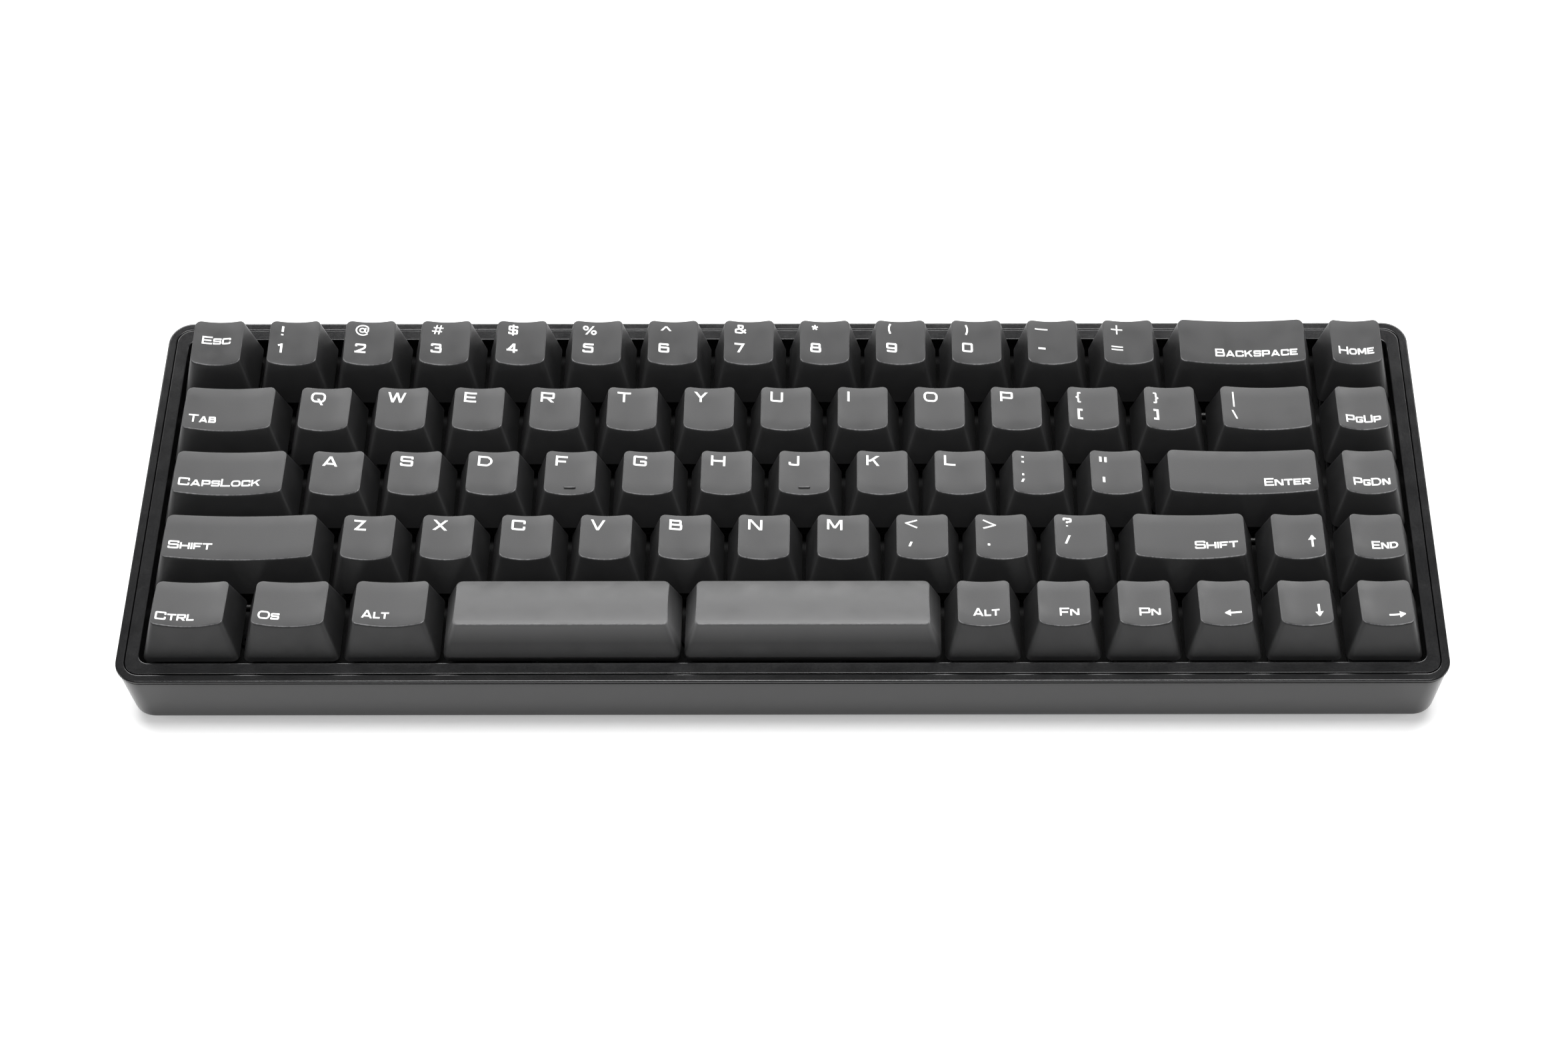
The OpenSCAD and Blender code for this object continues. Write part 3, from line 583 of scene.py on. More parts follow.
# A stroke is an open path of points, unless it begins with its kind: c closed path, s slanted bar with
# level ends, o oval arc, which has its centre, its half axes, and the two angles that it runs between.
# 0 and 1 are the middles of the outermost strokes.
LEFT, MIDDLE, RIGHT = (((x, LOW), (x, HIGH)) for x in (0, 0.5, 1))  # strokes of full height
BOTTOM, CENTRE, TOP = (((LOW, y), (HIGH, y)) for y in (0, 0.5, 1))  # strokes of full width
GLYPHS = {
    "A": [("s", (LOW, LOW), (0.5, HIGH)), ("s", (HIGH, LOW), (0.5, HIGH)), ((0.16, 0.2), (0.84, 0.2))],
    "B": [((LOW, 1), (0.93, 1), (0.93, 0.52), (0.1, 0.52)), ((0.1, 0.52), (1, 0.52), (1, 0), (LOW, 0)), LEFT],
    "C": [((1, 0.66), (1, 1), (0, 1), (0, 0), (1, 0), (1, 0.34))],
    "D": [((LOW, 1), (0.72, 1), (1, 0.68), (1, 0.32), (0.72, 0), (LOW, 0)), LEFT],
    "E": [((HIGH, 1), (LOW, 1)), LEFT, BOTTOM, ((0, 0.5), (1, 0.5))],
    "F": [((HIGH, 1), (LOW, 1)), LEFT, ((0, 0.44), (0.95, 0.44))],
    "G": [((1, 0.76), (1, 1), (0, 1), (0, 0), (1, 0), (1, 0.44), (0.5, 0.44))],
    "H": [LEFT, RIGHT, ((0, 0.5), (1, 0.5))],
    "I": [MIDDLE],
    "J": [((1, HIGH), (1, 0), (0, 0), (0, 0.3))],
    "K": [LEFT, ("s", (0.2, 0.42), (0.92, HIGH)), ("s", (0.5, 0.62), (0.95, LOW)), ((0, 0.47), (0.3, 0.47))],
    "L": [((0, HIGH), (0, LOW)), BOTTOM],
    "M": [LEFT, RIGHT, ("s", (0.04, HIGH), (0.5, 0.1)), ("s", (0.96, HIGH), (0.5, 0.1))],
    "N": [LEFT, RIGHT, ("s", (0.06, HIGH), (0.94, LOW))],
    "O": [("c", *ROUND)],
    "P": [((LOW, 1), (1, 1), (1, 0.36), (LOW, 0.36)), LEFT],
    "Q": [("c", *ROUND), ("s", (0.5, 0.34), (0.84, -0.42))],
    "R": [((LOW, 1), (1, 1), (1, 0.42), (LOW, 0.42)), LEFT, ("s", (0.5, 0.4), (0.94, LOW))],
    "S": [((1, 0.76), (1, 1), (0, 1), (0, 0.52), (1, 0.52), (1, 0), (0, 0), (0, 0.24))],
    "T": [TOP, ((0.5, 1), (0.5, LOW))],
    "U": [((0, HIGH), (0, 0), (1, 0), (1, HIGH))],
    "V": [("s", (0.02, HIGH), (0.5, LOW)), ("s", (0.98, HIGH), (0.5, LOW))],
    "W": [("s", (0.0, HIGH), (0.26, LOW)), ("s", (0.5, HIGH), (0.26, LOW)), ("s", (0.5, HIGH), (0.74, LOW)),
          ("s", (1.0, HIGH), (0.74, LOW))],
    "X": [("s", (0.04, HIGH), (0.98, LOW)), ("s", (0.96, HIGH), (0.02, LOW))],
    "Y": [("s", (0.02, HIGH), (0.5, 0.4)), ("s", (0.98, HIGH), (0.5, 0.4)), ((0.5, 0.5), (0.5, LOW))],
    "Z": [((LOW, 1), (0.95, 1)), ((0.02, 0), (HIGH, 0)), ("s", (0.92, HIGH), (0.08, LOW))],
    "0": [("c", *RING)],
    "1": [((1, HIGH), (1, LOW)), ((LOW, 0.84), (1, 0.98))],
    "2": [((0, 0.72), (0, 1), (1, 1), (1, 0.58), (0.12, 0.06)), BOTTOM],
    "3": [((0, 0.76), (0, 1), (0.94, 1), (0.94, 0.54), (0.34, 0.54)),
          ((0.34, 0.54), (1, 0.54), (1, 0), (0, 0), (0, 0.24))],
    "4": [((0.72, LOW), (0.72, HIGH)), ((LOW, 0.24), (HIGH, 0.24)), ("s", (0.7, HIGH), (0.06, 0.22))],
    "5": [((HIGH, 1), (0.06, 1), (0.02, 0.6), (1, 0.6), (1, 0), (0, 0), (0, 0.22))],
    "6": [((0.92, 0.84), (0.92, 1), (0, 1), (0, 0), (1, 0), (1, 0.56), (0, 0.56))],
    "7": [((LOW, 1), (0.94, 1)), ("s", (0.94, HIGH), (0.34, LOW))],
    "8": [("c", (0.05, 0.52), (0.05, 1), (0.95, 1), (0.95, 0.52)),
          ("c", (0, 0), (0, 0.52), (1, 0.52), (1, 0))],
    "9": [((1, 0.44), (0, 0.44), (0, 1), (1, 1), (1, 0), (0.08, 0), (0.08, 0.16))],
    "!": [((0.5, 0.36), (0.5, HIGH)), ((0.5, LOW), (0.5, 0.08))],
    "@": [("o", (0.5, 0.5), (0.5, 0.5), (-40, -322)), ("o", (0.46, 0.5), (0.19, 0.2), (0, 360)),
          ((0.71, 0.76), (0.66, 0.34), (0.8, 0.27), (0.9, 0.4), (0.9, 0.8))],
    "#": [("s", (0.22, LOW), (0.42, HIGH)), ("s", (0.62, LOW), (0.82, HIGH)),
          ((LOW, 0.28), (0.95, 0.28)), ((0.08, 0.72), (HIGH, 0.72))],
    "$": [((1, 0.72), (1, 0.88), (0, 0.88), (0, 0.5), (1, 0.5), (1, 0.12), (0, 0.12), (0, 0.28)), MIDDLE],
    "%": [("o", (0.17, 0.77), (0.17, 0.23), (0, 360)), ("o", (0.83, 0.23), (0.17, 0.23), (0, 360)),
          ("s", (0.22, LOW), (0.78, HIGH))],
    "^": [("s", (0, LOW), (0.5, HIGH)), ("s", (1, LOW), (0.5, HIGH))],
    "&": [((1.0, 0.0), (0.3, 0.62), (0.22, 1), (0.68, 1), (0.68, 0.62), (0.0, 0.42), (0, 0), (0.62, 0),
           (0.98, 0.5))],
    "*": [((0.5, 0.5), tip) for tip in ((0.5, 1), (0.02, 0.66), (0.98, 0.66), (0.2, 0.04), (0.8, 0.04))],
    "(": [((1, HIGH), (0, 0.7), (0, 0.3), (1, LOW))],
    ")": [((0, HIGH), (1, 0.7), (1, 0.3), (0, LOW))],
    "-": [CENTRE],
    "+": [CENTRE, MIDDLE],
    "=": [BOTTOM, TOP],
    "{": [((HIGH, 1), (0.5, 1), (0.5, 0.6), (0, 0.5), (0.5, 0.4), (0.5, 0), (HIGH, 0))],
    "}": [((LOW, 1), (0.5, 1), (0.5, 0.6), (1, 0.5), (0.5, 0.4), (0.5, 0), (LOW, 0))],
    "[": [((HIGH, 1), (LOW, 1)), LEFT, BOTTOM],
    "]": [TOP, RIGHT, BOTTOM],
    "|": [MIDDLE],
    "\\": [("s", (0, HIGH), (1, LOW))],
    "/": [("s", (1, HIGH), (0, LOW))],
    ":": [((0.5, LOW), (0.5, 0.12)), ((0.5, 0.88), (0.5, HIGH))],
    ";": [("s", (0.0, LOW), (1.0, 0.36)), ((0.7, 0.84), (0.7, HIGH))],
    '"': [LEFT, RIGHT],
    "'": [MIDDLE],
    "<": [((HIGH, HIGH), (0, 0.5), (HIGH, LOW))],
    ">": [((LOW, HIGH), (1, 0.5), (LOW, LOW))],
    ",": [("s", (0.0, LOW), (1.0, HIGH))],
    ".": [MIDDLE],
    "?": [((0, 0.72), (0, 1), (1, 1), (1, 0.6), (0.45, 0.52), (0.45, 0.34)), ((0.45, LOW), (0.45, 0.02))],
}
LETTER_H = 3.1
# How wide each letter is at that height.
LETTER_W = dict(Q=3.6, W=4.5, E=3.0, R=3.4, T=3.3, Y=3.4, U=3.1, I=0.72, O=3.5, P=3.2, A=3.7, S=3.1,
                D=3.5, F=2.9, G=3.3, H=3.5, J=2.6, K=3.3, L=2.8, Z=3.0, X=3.6, C=3.3, V=3.5, B=3.1,
                N=3.4, M=3.7)
INSIDE_R, OUTSIDE_R = 0.12, 0.95  # how round a bend is, in widths of the stroke
QUAD = 0.8  # the longest piece of a stroke, so that it can follow the scoop of a cap
ARC_POINTS = 22


def unit(v):
    return v / np.linalg.norm(v)


def ribbon(points, t, closed):
    """Quads along a path of width t, whose bends are round outside and tight inside."""
    p = [np.array(q, float) for q in points]
    n = len(p)
    steps = [unit(p[(i + 1) % n] - p[i]) for i in range(n if closed else n - 1)]
    before = [steps[i - 1] if closed or i else steps[0] for i in range(n)]
    after = [steps[min(i, len(steps) - 1)] for i in range(n)]
    sides = []
    for sign in (1, -1):
        corners = []
        for q, d0, d1 in zip(p, before, after):
            n0, n1 = np.array([-d0[1], d0[0]]), np.array([-d1[1], d1[0]])
            corners.append(q + sign * t / 2 * (n0 + n1) / max(0.35, 1 + n0 @ n1))  # no long spikes
        line = []
        for i, (corner, d0, d1) in enumerate(zip(corners, before, after)):
            if d0 @ d1 > 0.8:  # an end, or a gentle bend, needs no rounding
                line.append(corner)
                continue
            turn = sign * (d0[0] * d1[1] - d0[1] * d1[0])
            room = min((corner - corners[i - 1]) @ d0, (corners[(i + 1) % n] - corner) @ d1)
            k = min(INSIDE_R * t if turn > 0 else OUTSIDE_R * t * min(1.0, -1.5 * turn),
                    0.48 * max(room, 0.0))
            for s in (0.0, 0.33, 0.67, 1.0):
                line.append((corner - d0 * k) * (1 - s) ** 2 + corner * 2 * s * (1 - s)
                            + (corner + d1 * k) * s * s)
        sides.append(line + line[:1] if closed else line)
    left, right = sides
    quads = []
    for i in range(len(left) - 1):
        gap = max(np.linalg.norm(left[i + 1] - left[i]), np.linalg.norm(right[i + 1] - right[i]))
        pieces = max(1, int(math.ceil(gap / QUAD)))
        for j in range(pieces):
            a, b = j / pieces, (j + 1) / pieces
            quads.append([left[i] * (1 - a) + left[i + 1] * a, left[i] * (1 - b) + left[i + 1] * b,
                          right[i] * (1 - b) + right[i + 1] * b, right[i] * (1 - a) + right[i + 1] * a])
    return quads


def slant(a, b, t):
    """Quads of a slanted bar of width t whose ends are level."""
    a, b = np.array(a, float), np.array(b, float)
    d = unit(b - a)
    half = np.array([t / 2 / max(0.3, abs(d[1])), 0.0])
    pieces = max(1, int(math.ceil(np.linalg.norm(b - a) / QUAD)))
    mid = [a + (b - a) * j / pieces for j in range(pieces + 1)]
    return [[p - half, q - half, q + half, p + half] for p, q in zip(mid, mid[1:])]


def glyph(char, x0, y0, w, h, t):
    """Quads of one character in the box with corner x0, y0 and size w by h."""
    def place(p):
        out = []
        for value, start, size in ((p[0], x0, w), (p[1], y0, h)):
            pad = min(t, size) / 2
            inside = start + pad + value * (size - 2 * pad)
            out.append({LOW: start, HIGH: start + size}.get(value, inside))
        return out

    quads = []
    for stroke in GLYPHS[char]:
        kind, *points = stroke if isinstance(stroke[0], str) else ("p", *stroke)
        closed = kind == "c"
        if kind == "o":
            (cx, cy), (rx, ry), (a0, a1) = points
            turn = np.radians(np.linspace(a0, a1, ARC_POINTS))
            points = list(zip(cx + rx * np.cos(turn), cy + ry * np.sin(turn)))
            closed = a1 - a0 == 360
            points = points[:-1] if closed else points
        at = [place(p) for p in points]
        if kind == "s":
            reach = t * 0.55 / max(0.3, abs(unit(np.subtract(at[1], at[0]))[1]))
            for p in at:
                p[0] = min(max(p[0], x0 + reach), x0 + w - reach) if w > 2 * reach else x0 + w / 2
            quads += slant(at[0], at[1], t)
        else:
            quads += ribbon(at, t, closed)
    return quads


def word(text, x0, x1, y):
    """Quads of a word in capitals of two sizes between x0 and x1, standing on y."""
    t = WORD_T
    tall = [WORD_BIG if c.isupper() else WORD_SMALL for c in text]
    natural = [LETTER_W[c.upper()] * h / LETTER_H for c, h in zip(text, tall)]
    fixed = sum(w for c, w in zip(text, natural) if c.upper() == "I")
    scale = (x1 - x0 - WORD_GAP * (len(text) - 1) - fixed) / (sum(natural) - fixed)
    quads, x = [], x0
    for c, w, h in zip(text, natural, tall):
        w = t * 1.05 if c.upper() == "I" else w * scale
        quads += glyph(c.upper(), x, y, w, h, t)
        x += w + WORD_GAP
    return quads


def arrow(x, y, length, angle):
    """Quads of an arrow of that length, centred on x, y: a thin shaft and a solid head."""
    c, s = math.cos(math.radians(angle)), math.sin(math.radians(angle))
    half = length / 2
    barb, waist = half - 1.35, half - 0.65
    flat = ribbon([(-half, 0), (half - 1.0, 0)], 0.5, False)
    flat += [[np.array(p) for p in ((barb, -0.95), (waist, -0.5), (waist, 0.5), (barb, 0.95))],
             [np.array(p) for p in ((waist, -0.5), (half, -0.12), (half, 0.12), (waist, 0.5))]]
    turn = np.array([[c, -s], [s, c]])
    return [[turn @ p + np.array([x, y]) for p in q] for q in flat]


def box_glyph(char, x0, x1, y0, y1, t):
    return glyph(char, x0, y0, x1 - x0, y1 - y0, t)


# Where the prints stand, in millimetres from each key's middle, and the width t of their strokes.
LETTER_T, LETTER_X, LETTER_Y = 0.54, -3.9, (4.0, 7.1)
DIGIT_T, DIGIT_X, ONE_X, DIGIT_Y = 0.53, (-3.6, -0.9), (-3.9, -2.8), (-1.1, 1.7)
WORD_T, WORD_BIG, WORD_SMALL, WORD_GAP = 0.43, 2.35, 1.9, 0.2
INK_ABOVE, INK_BELOW = 0.022, 0.06  # how far the sheet of ink reaches from the top of the cap
# Character, x0, x1, y0, y1, t.
SIGNS = {
    "1": ("!", -3.5, -2.9, 4.2, 7.0, 0.55), "2": ("@", -3.9, -0.3, 4.2, 7.5, 0.36),
    "3": ("#", -3.7, -0.9, 4.6, 7.4, 0.34), "4": ("$", -3.5, -1.1, 4.2, 7.5, 0.48),
    "5": ("%", -3.8, -0.3, 4.4, 7.1, 0.42), "6": ("^", -3.3, -0.5, 5.6, 7.0, 0.42),
    "7": ("&", -3.6, -0.6, 4.7, 7.4, 0.46), "8": ("*", -3.5, -1.5, 5.6, 7.5, 0.44),
    "9": ("(", -3.1, -2.3, 4.6, 7.6, 0.46), "0": (")", -2.8, -2.0, 4.2, 7.2, 0.46),
}
PAIRS = {
    "minus": [("-", -4.2, -1.0, 5.65, 6.0, 0.36), ("-", -3.5, -1.7, -0.3, 0.25, 0.55)],
    "equals": [("+", -4.1, -1.2, 4.3, 7.1, 0.36), ("=", -4.2, -1.3, -0.65, 0.6, 0.36)],
    "bracket_left": [("{", -4.2, -2.9, 3.6, 6.9, 0.42), ("[", -3.9, -2.6, -1.7, 1.6, 0.58)],
    "bracket_right": [("}", -3.9, -2.6, 3.3, 6.7, 0.42), ("]", -4.1, -2.8, -1.9, 1.4, 0.58)],
    "backslash": [("|", -8.05, -7.65, 2.0, 6.7, 0.38), ("\\", -8.6, -7.1, -1.7, 0.9, 0.42)],
    "semicolon": [(":", -3.95, -3.35, 4.75, 6.8, 0.6), (";", -4.3, -3.25, -1.3, 1.35, 0.5)],
    "quote": [('"', -3.9, -2.05, 5.0, 6.6, 0.6), ("'", -3.35, -2.7, -1.3, 0.3, 0.62)],
    "comma": [("<", -4.1, -1.2, 4.7, 7.0, 0.42), (",", -3.4, -2.3, -1.1, 0.3, 0.5)],
    "period": [(">", -4.3, -1.2, 4.2, 6.7, 0.42), (".", -3.35, -2.75, -0.9, -0.3, 0.6)],
    "slash": [("?", -4.1, -1.9, 4.9, 7.5, 0.50), ("/", -3.9, -2.3, -0.4, 2.2, 0.50)],
}
# Text, x0, x1, and the y that it stands on.
WORDS = {
    "esc": ("Esc", -4.1, 3.1, 1.6), "backspace": ("Backspace", -6.8, 13.7, -2.5),
    "home": ("Home", -4.4, 4.4, -1.9), "tab": ("Tab", -9.6, -2.9, -2.4), "page_up": ("PgUp", -4.2, 4.4, -2.7),
    "caps_lock": ("CapsLock", -12.1, 7.8, -2.2), "enter": ("Enter", 5.1, 16.3, -2.4),
    "page_down": ("PgDn", -4.1, 4.8, -2.3), "shift_left": ("Shift", -16.8, -6.4, -1.8),
    "shift_right": ("Shift", 1.2, 11.5, -1.8), "end": ("End", -1.5, 4.7, -1.9),
    "ctrl": ("Ctrl", -7.6, 1.5, -3.0), "os": ("Os", -7.2, -2.2, -2.8),
    "alt_left": ("Alt", -6.6, -0.2, -2.5), "alt_right": ("Alt", -2.6, 3.7, -1.9),
    "fn": ("Fn", -1.1, 3.5, -1.8), "pn": ("Pn", -1.3, 3.7, -1.8),
}
# x, y, length, angle.
ARROWS = {"arrow_up": (3.3, 0.35, 3.5, 90), "arrow_left": (1.85, -1.0, 3.9, 180),
          "arrow_down": (3.15, -0.4, 3.6, 270), "arrow_right": (2.5, -1.7, 3.8, 0)}


def legend_quads(name):
    """Quads of a key's whole print, or none where the key has none."""
    if len(name) == 1 and name.isalpha():
        letter = name.upper()
        return box_glyph(letter, LETTER_X, LETTER_X + LETTER_W[letter], *LETTER_Y, LETTER_T)
    if len(name) == 1:
        across = ONE_X if name == "1" else DIGIT_X
        return box_glyph(name, *across, *DIGIT_Y, DIGIT_T) + box_glyph(*SIGNS[name])
    if name in PAIRS:
        return [q for sign in PAIRS[name] for q in box_glyph(*sign)]
    if name in WORDS:
        return word(*WORDS[name])
    if name in ARROWS:
        return arrow(*ARROWS[name])
    return []


def turns_left(q):
    (ax, ay), (bx, by) = q[2] - q[0], q[3] - q[1]
    return ax * by > ay * bx


def legend(name, cap, x, y):
    """The key's print as a thin sheet of ink that follows the scooped top."""
    quads = legend_quads(name)
    if not quads:
        return None
    quads = [q if turns_left(q) else q[::-1] for q in quads]  # the union needs them anticlockwise
    flat = [Vector(p) for q in quads for p in q]
    faces = [list(range(4 * i, 4 * i + 4)) for i in range(len(quads))]
    keep_inside, merge = 1, 0.004
    points, _, triangles, _, _, sources = delaunay_2d_cdt(flat, [], faces, keep_inside, merge)
    triangles = [t for t, s in zip(triangles, sources) if s]  # the rest lie in a letter's holes
    p = np.array([tuple(v) for v in points])
    shape = Shape()
    at = np.array([x, y, SKIRT])
    upper = shape.add(with_z(p, cap.top(p[:, 0], p[:, 1]) + INK_ABOVE) + at)
    lower = shape.add(with_z(p, cap.top(p[:, 0], p[:, 1]) - INK_BELOW) + at)
    sides = {}  # the edges that only one triangle has
    for tri in triangles:
        shape.faces.append(tuple(upper[i] for i in tri))
        shape.faces.append(tuple(lower[i] for i in reversed(tri)))
        for a, b in zip(tri, tri[1:] + tri[:1]):
            if not sides.pop((b, a), False):
                sides[a, b] = True
    shape.faces += [(upper[b], upper[a], lower[a], lower[b]) for a, b in sides]
    return shape.make("legend_" + name, INK)


# ---------- keys
def build_keys():
    for name, node, x, y, units, row in keys_layout():
        cap = Cap(units, row)
        shape = Shape()
        cap.build(shape, x, y)
        if name in "fj":  # where the first fingers rest
            homing_bar(shape, cap, x, y)
        body = shape.make("keycap_" + name, SPACE if cap.is_space else CAP, SMOOTH_CAP)
        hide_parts(node)
        stem = Shape()
        stem_shapes(stem, x, y, units)
        stem = stem.make("stem_" + name, STEM)
        for piece in (body, stem, legend(name, cap, x, y)):
            if piece:
                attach(piece, node)


# ---------- case
CORNER_STEPS = 14


def case_outline(inset):
    """The case's outline, inset from its lip."""
    return box_outline(CASE_HALF_W - inset, CASE_HALF_D - inset, CASE_CORNER - inset, k=CORNER_STEPS)


def base_outline(inset):
    """The case's outline on its underside, where inset is measured from the bottom of its walls."""
    return box_outline(CASE_HALF_W - LIP_OUT - BASE_INSET - inset,
                       (CASE_HALF_D - LIP_OUT) * math.cos(LEAN) - BASE_INSET - inset,
                       CASE_CORNER - inset, k=CORNER_STEPS)


def cut(obj, cutter):
    """Takes the cutter's closed shells out of obj, and removes the cutter."""
    m = obj.modifiers.new("cut", "BOOLEAN")
    m.object, m.operation, m.solver, m.use_self = cutter, "DIFFERENCE", "EXACT", True
    bpy.context.view_layer.update()
    made = bpy.data.meshes.new_from_object(obj.evaluated_get(bpy.context.evaluated_depsgraph_get()))
    obj.modifiers.clear()
    old, obj.data = obj.data, made
    made.name = obj.name
    bpy.data.meshes.remove(old)
    bpy.data.objects.remove(cutter)


def as_it_is(points):
    """For points that are in metres of the shared frame already."""
    return np.asarray(points, float)


def bottom_case():
    """The outer case: one skin from its floor up the outside, over the rim and down the inside."""
    shape = Shape(as_it_is)
    profile = [(0.4, 0.0), (0.2, 0.03), (0.06, 0.13), (0.0, 0.3), (0.0, LIP_H - 0.14), (0.04, LIP_H - 0.04),
               (0.12, LIP_H), (0.6, LIP_H), (0.7, LIP_H + 0.1), (0.7, LIP_H + 0.66), (0.55, LIP_H + 0.84),
               (0.37, LIP_H + 0.96), (0.35, LIP_H + 1.2)]  # inset, and depth below the rim
    outer = [leaning(with_z(case_outline(i), RIM_Z - depth)) for i, depth in profile]
    high, low = outer[-1], standing(with_z(base_outline(0.0), FOOT_H + 1.1))
    outer += [high + (low - high) * share for share in (0.1, 0.5, 0.9)] + [low]
    outer += [standing(with_z(base_outline(i), FOOT_H + z)) for i, z in
              ((0.08, 0.68), (0.32, 0.32), (0.68, 0.08), (1.1, 0.0), (2.0, 0.0))]
    rim_w = LIP_OUT + WALL_T
    inner = [leaning(with_z(case_outline(i), z)) for i, z in
             ((0.6, RIM_Z), (rim_w - 0.36, RIM_Z), (rim_w - 0.16, RIM_Z), (rim_w - 0.05, RIM_Z - 0.04),
              (rim_w, RIM_Z - 0.15), (rim_w, RIM_Z - 0.6))]
    floor_z = FOOT_H + FLOOR_T
    inner += [standing(with_z(base_outline(i), floor_z + z)) for i, z in
              ((WALL_T, 1.2), (WALL_T + 0.35, 0.35), (WALL_T + 1.2, 0.0))]
    rings = outer[::-1] + inner
    worn_and_highlight = range(len(outer) - 3, len(outer))  # the outer edge of the rim, painted paler: a painted highlight, with some scuffing
    shape.loft(rings, [0.1 if i in worn_and_highlight else 0.0 for i in range(len(rings))])
    case = shape.make("case_shell", CASE, SMOOTH_CASE)

    holes = Shape(as_it_is)
    for at in FEET:
        p = stadium(FOOT_LEN, FOOT_W + 0.2) + np.array(at)
        holes.loft([standing(with_z(p, z)) for z in (0.0, FOOT_H + FOOT_RECESS)])
    slot = box_outline(USB_HALF_W + USB_GAP, USB_HALF_H + USB_GAP, USB_CORNER, k=10)
    for grow, y0, y1 in ((0.0, 44.0, 60.0), (0.45, 52.0, 60.0)):
        p = slot * (1 + grow / 2.0 * np.array([0.4, 1.0]))
        holes.loft([leaning(np.column_stack([p[:, 0] + USB_X, np.full(len(p), y), p[:, 1] + USB_Z]))
                    for y in (y1, y0)])
    for x, side in HOOKS:
        y = side * (OPENING[1] + FRAME_SKIRT + HOOK_REACH[side] - 1 + 0.65)
        p = box_outline(HOOK_W / 2 + 0.4, 0.65, 0.1, k=2) + np.array([x, y])
        holes.loft([leaning(with_z(p, z)) for z in (HOOK_Z - 0.4, HOOK_Z + 1.6)])
    cut(case, holes.make("case_holes", CASE))
    finish_mesh(case, SMOOTH_CASE)
    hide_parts("bottom_case")
    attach(case, "case_assembly")


def top_frame():
    """The inner frame: a closed loop of rings round the keys, and the snap hooks under it."""
    shape = Shape()
    rim = LIP_OUT + WALL_T + SEAM

    def edge_ring(inset, z):
        return with_z(box_outline(CASE_HALF_W - rim - inset, CASE_HALF_D - rim - inset,
                                  CASE_CORNER - rim - inset * 0.6, k=CORNER_STEPS), z)

    def opening_ring(grow, z):
        return with_z(box_outline(*(size + grow for size in OPENING), k=CORNER_STEPS), z)

    rings = [opening_ring(grow, RIM_Z - depth) for grow, depth in
             ((0.0, 0.9), (0.0, 0.24), (0.03, 0.1), (0.11, 0.02), (0.25, 0.0), (0.45, 0.0))]
    rings += [edge_ring(inset, RIM_Z - depth) for inset, depth in
              ((0.34, 0.0), (0.14, 0.0), (0.05, 0.015), (0.015, 0.05), (0.0, 0.14), (0.0, FLANGE - 0.1),
               (0.1, FLANGE))]
    rings += [opening_ring(grow, z) for grow, z in
              ((FRAME_SKIRT + 0.3, RIM_Z - FLANGE), (FRAME_SKIRT, RIM_Z - FLANGE - 0.3),
               (FRAME_SKIRT, 0.25), (FRAME_SKIRT - 0.2, 0.05), (0.2, 0.05), (0.0, 0.25))]
    worn_and_highlight = (2, 3)  # the edge round the keys, painted paler: a painted highlight, with some scuffing
    ids = [shape.add(r, 0.2 if i in worn_and_highlight else 0.0) for i, r in enumerate(rings)]
    for a, b in zip(ids, ids[1:] + ids[:1]):
        shape.bridge(b, a)
    for x, side in HOOKS:
        y0, reach = OPENING[1] + FRAME_SKIRT - 0.2, HOOK_REACH[side]
        wedge = [(y0, HOOK_Z), (y0 + reach + 0.05, HOOK_Z + 0.25), (y0 + reach + 0.2, HOOK_Z + 0.5),
                 (y0 + reach + 0.2, HOOK_Z + 0.95), (y0, HOOK_Z + 1.2)]
        ends = [[(x + e * HOOK_W / 2, side * y, z) for y, z in wedge] for e in (-side, side)]
        shape.loft(ends)
    piece = shape.make("top_frame_bezel", CASE, SMOOTH_CASE)
    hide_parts("top_frame")
    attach(piece, "case_assembly")


def rubber_feet():
    """Four pads, set in their recesses, with softened edges."""
    shape = Shape(standing)
    top = FOOT_H + FOOT_RECESS - 0.02
    for at in FEET:
        shape.loft([with_z(stadium(FOOT_LEN - 2 * i, FOOT_W - 2 * i) + np.array(at), z) for i, z in
                    ((1.5, 0.0), (0.45, 0.0), (0.18, 0.06), (0.04, 0.2), (0.0, 0.45), (0.0, top - 0.1),
                     (0.1, top))])
    piece = shape.make("rubber_feet_pads", RUBBER, SMOOTH_CAP)
    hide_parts("rubber_feet")
    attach(piece, "case_assembly")


def finish_cad_nodes():
    """The hidden working parts keep their CAD shapes and take real finishes."""
    finish = {"switch_plate": PLATE, "circuit_board": BOARD, "switch_lower_housings": HOUSING_BLACK,
              "switch_upper_housings": HOUSING_SMOKE, "switch_springs_and_contacts": SPRING,
              "stabilizer_housings": HOUSING_BLACK, "stabilizer_wires": WIRE, "usb_socket": SOCKET,
              "plate_screws": SCREW}
    for name, material in finish.items():
        mesh = frame["nodes"][name].data
        mesh.materials.clear()
        mesh.materials.append(material)


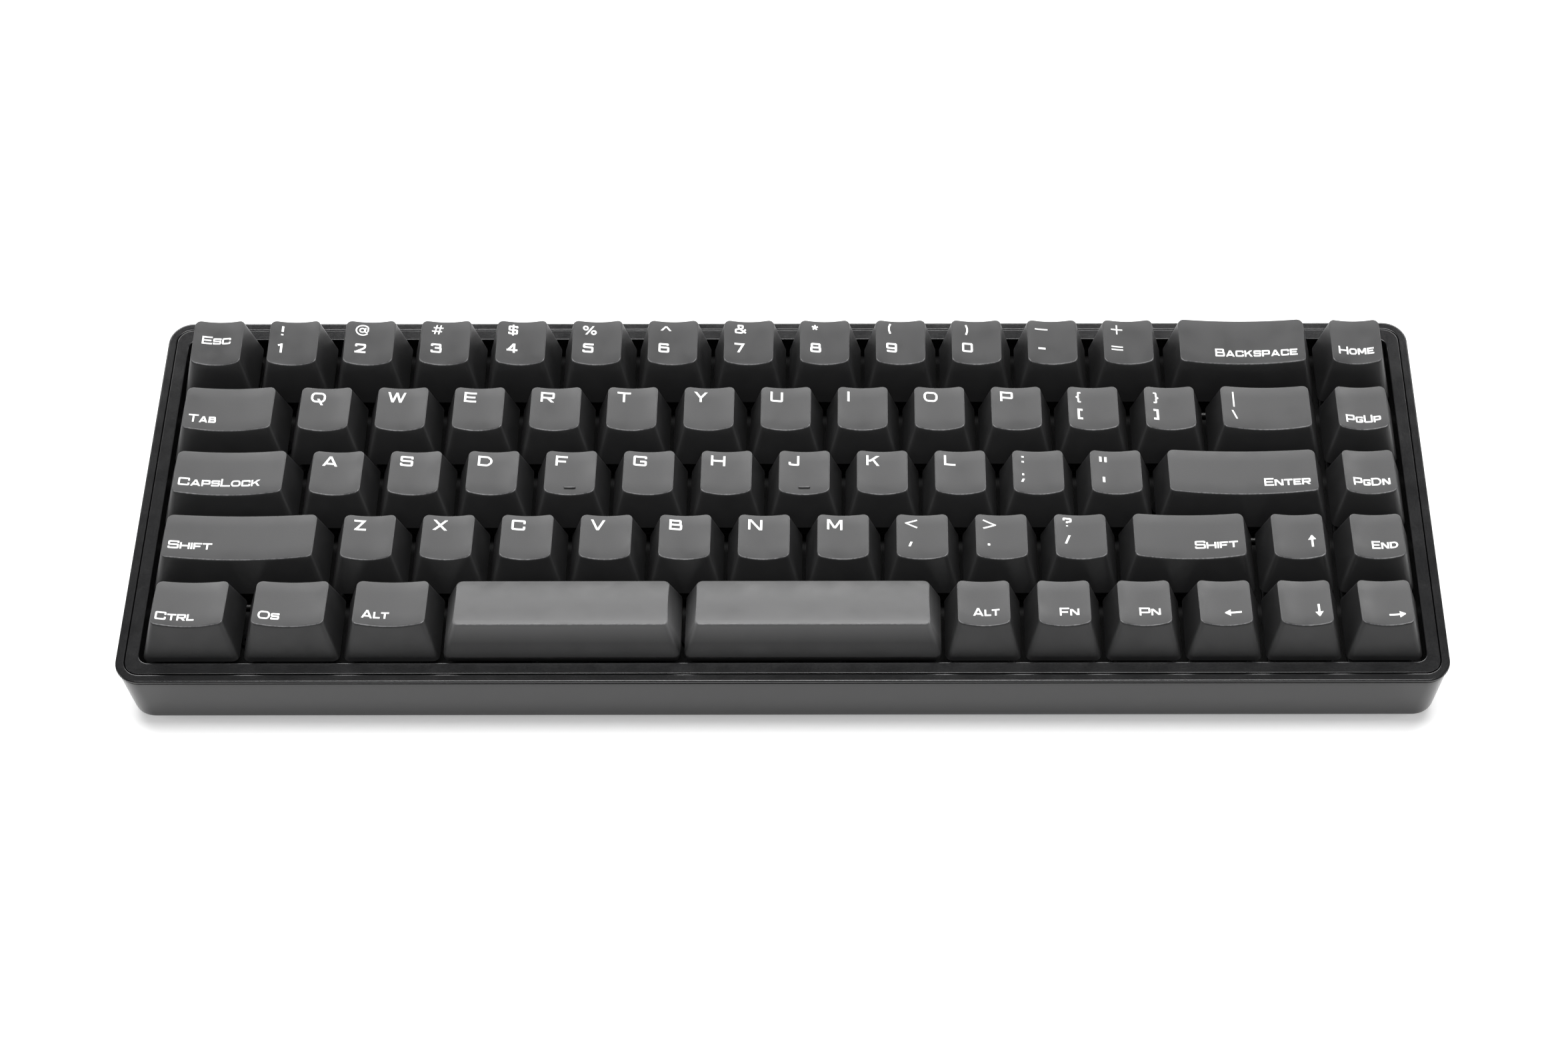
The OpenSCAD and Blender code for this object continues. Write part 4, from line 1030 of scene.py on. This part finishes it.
# ---------- floor and light
FLOOR_HALF, FLOOR_Z, FLOOR_GLOW, WORLD_GLOW = 3.0, -0.0002, 0.34, 0.13
SOFTBOXES = [  # name, place and size in metres, power in watts; all face the origin
    ("softbox_back", (0.0, 1.2, 0.85), (2.8, 0.6), 45.0),
    ("softbox_top", (0.0, 0.05, 1.5), (0.9, 0.4), 18.0),
    ("softbox_left", (-1.3, -0.2, 0.45), (0.5, 0.5), 5.0),
    ("softbox_right", (1.3, -0.2, 0.45), (0.5, 0.5), 5.0),
]


def stage():
    mesh = bpy.data.meshes.new("floor")
    s = FLOOR_HALF
    mesh.from_pydata([(x, y, FLOOR_Z) for x, y in ((-s, -s), (s, -s), (s, s), (-s, s))], [], [(0, 1, 2, 3)])
    floor = bpy.data.objects.new("floor", mesh)
    bpy.context.scene.collection.objects.link(floor)
    m, tree, bsdf, coord = nodes_of("floor_paper")
    tree.links.new(mix_colour(tree, noise(tree, coord, 0.4, 2.0), (0.80, 0.80, 0.80), (0.83, 0.83, 0.83)),
                   bsdf.inputs["Base Color"])
    bsdf.inputs["Roughness"].default_value = 0.9
    bsdf.inputs["Specular IOR Level"].default_value = 0.1
    bsdf.inputs["Emission Color"].default_value = (1, 1, 1, 1)  # lit a little from below, as a light table
    bsdf.inputs["Emission Strength"].default_value = FLOOR_GLOW
    mesh.materials.append(m)

    for name, at, (width, depth), power in SOFTBOXES:
        data = bpy.data.lights.new(name, "AREA")
        data.shape, data.size, data.size_y, data.energy = "RECTANGLE", width, depth, power
        lamp = bpy.data.objects.new(name, data)
        lamp.location = at
        lamp.rotation_mode = "QUATERNION"
        lamp.rotation_quaternion = (-Vector(at)).to_track_quat("-Z", "Y")
        bpy.context.scene.collection.objects.link(lamp)

    world = bpy.data.worlds.new("studio")
    bpy.context.scene.world = world
    world.use_nodes = True
    back = world.node_tree.nodes["Background"]
    back.inputs["Color"].default_value = (1, 1, 1, 1)
    back.inputs["Strength"].default_value = WORLD_GLOW
    view = bpy.context.scene.view_settings
    view.view_transform, view.look, view.exposure = "Standard", "None", 0.0


build_keys()
bottom_case()
top_frame()
rubber_feet()
finish_cad_nodes()
stage()
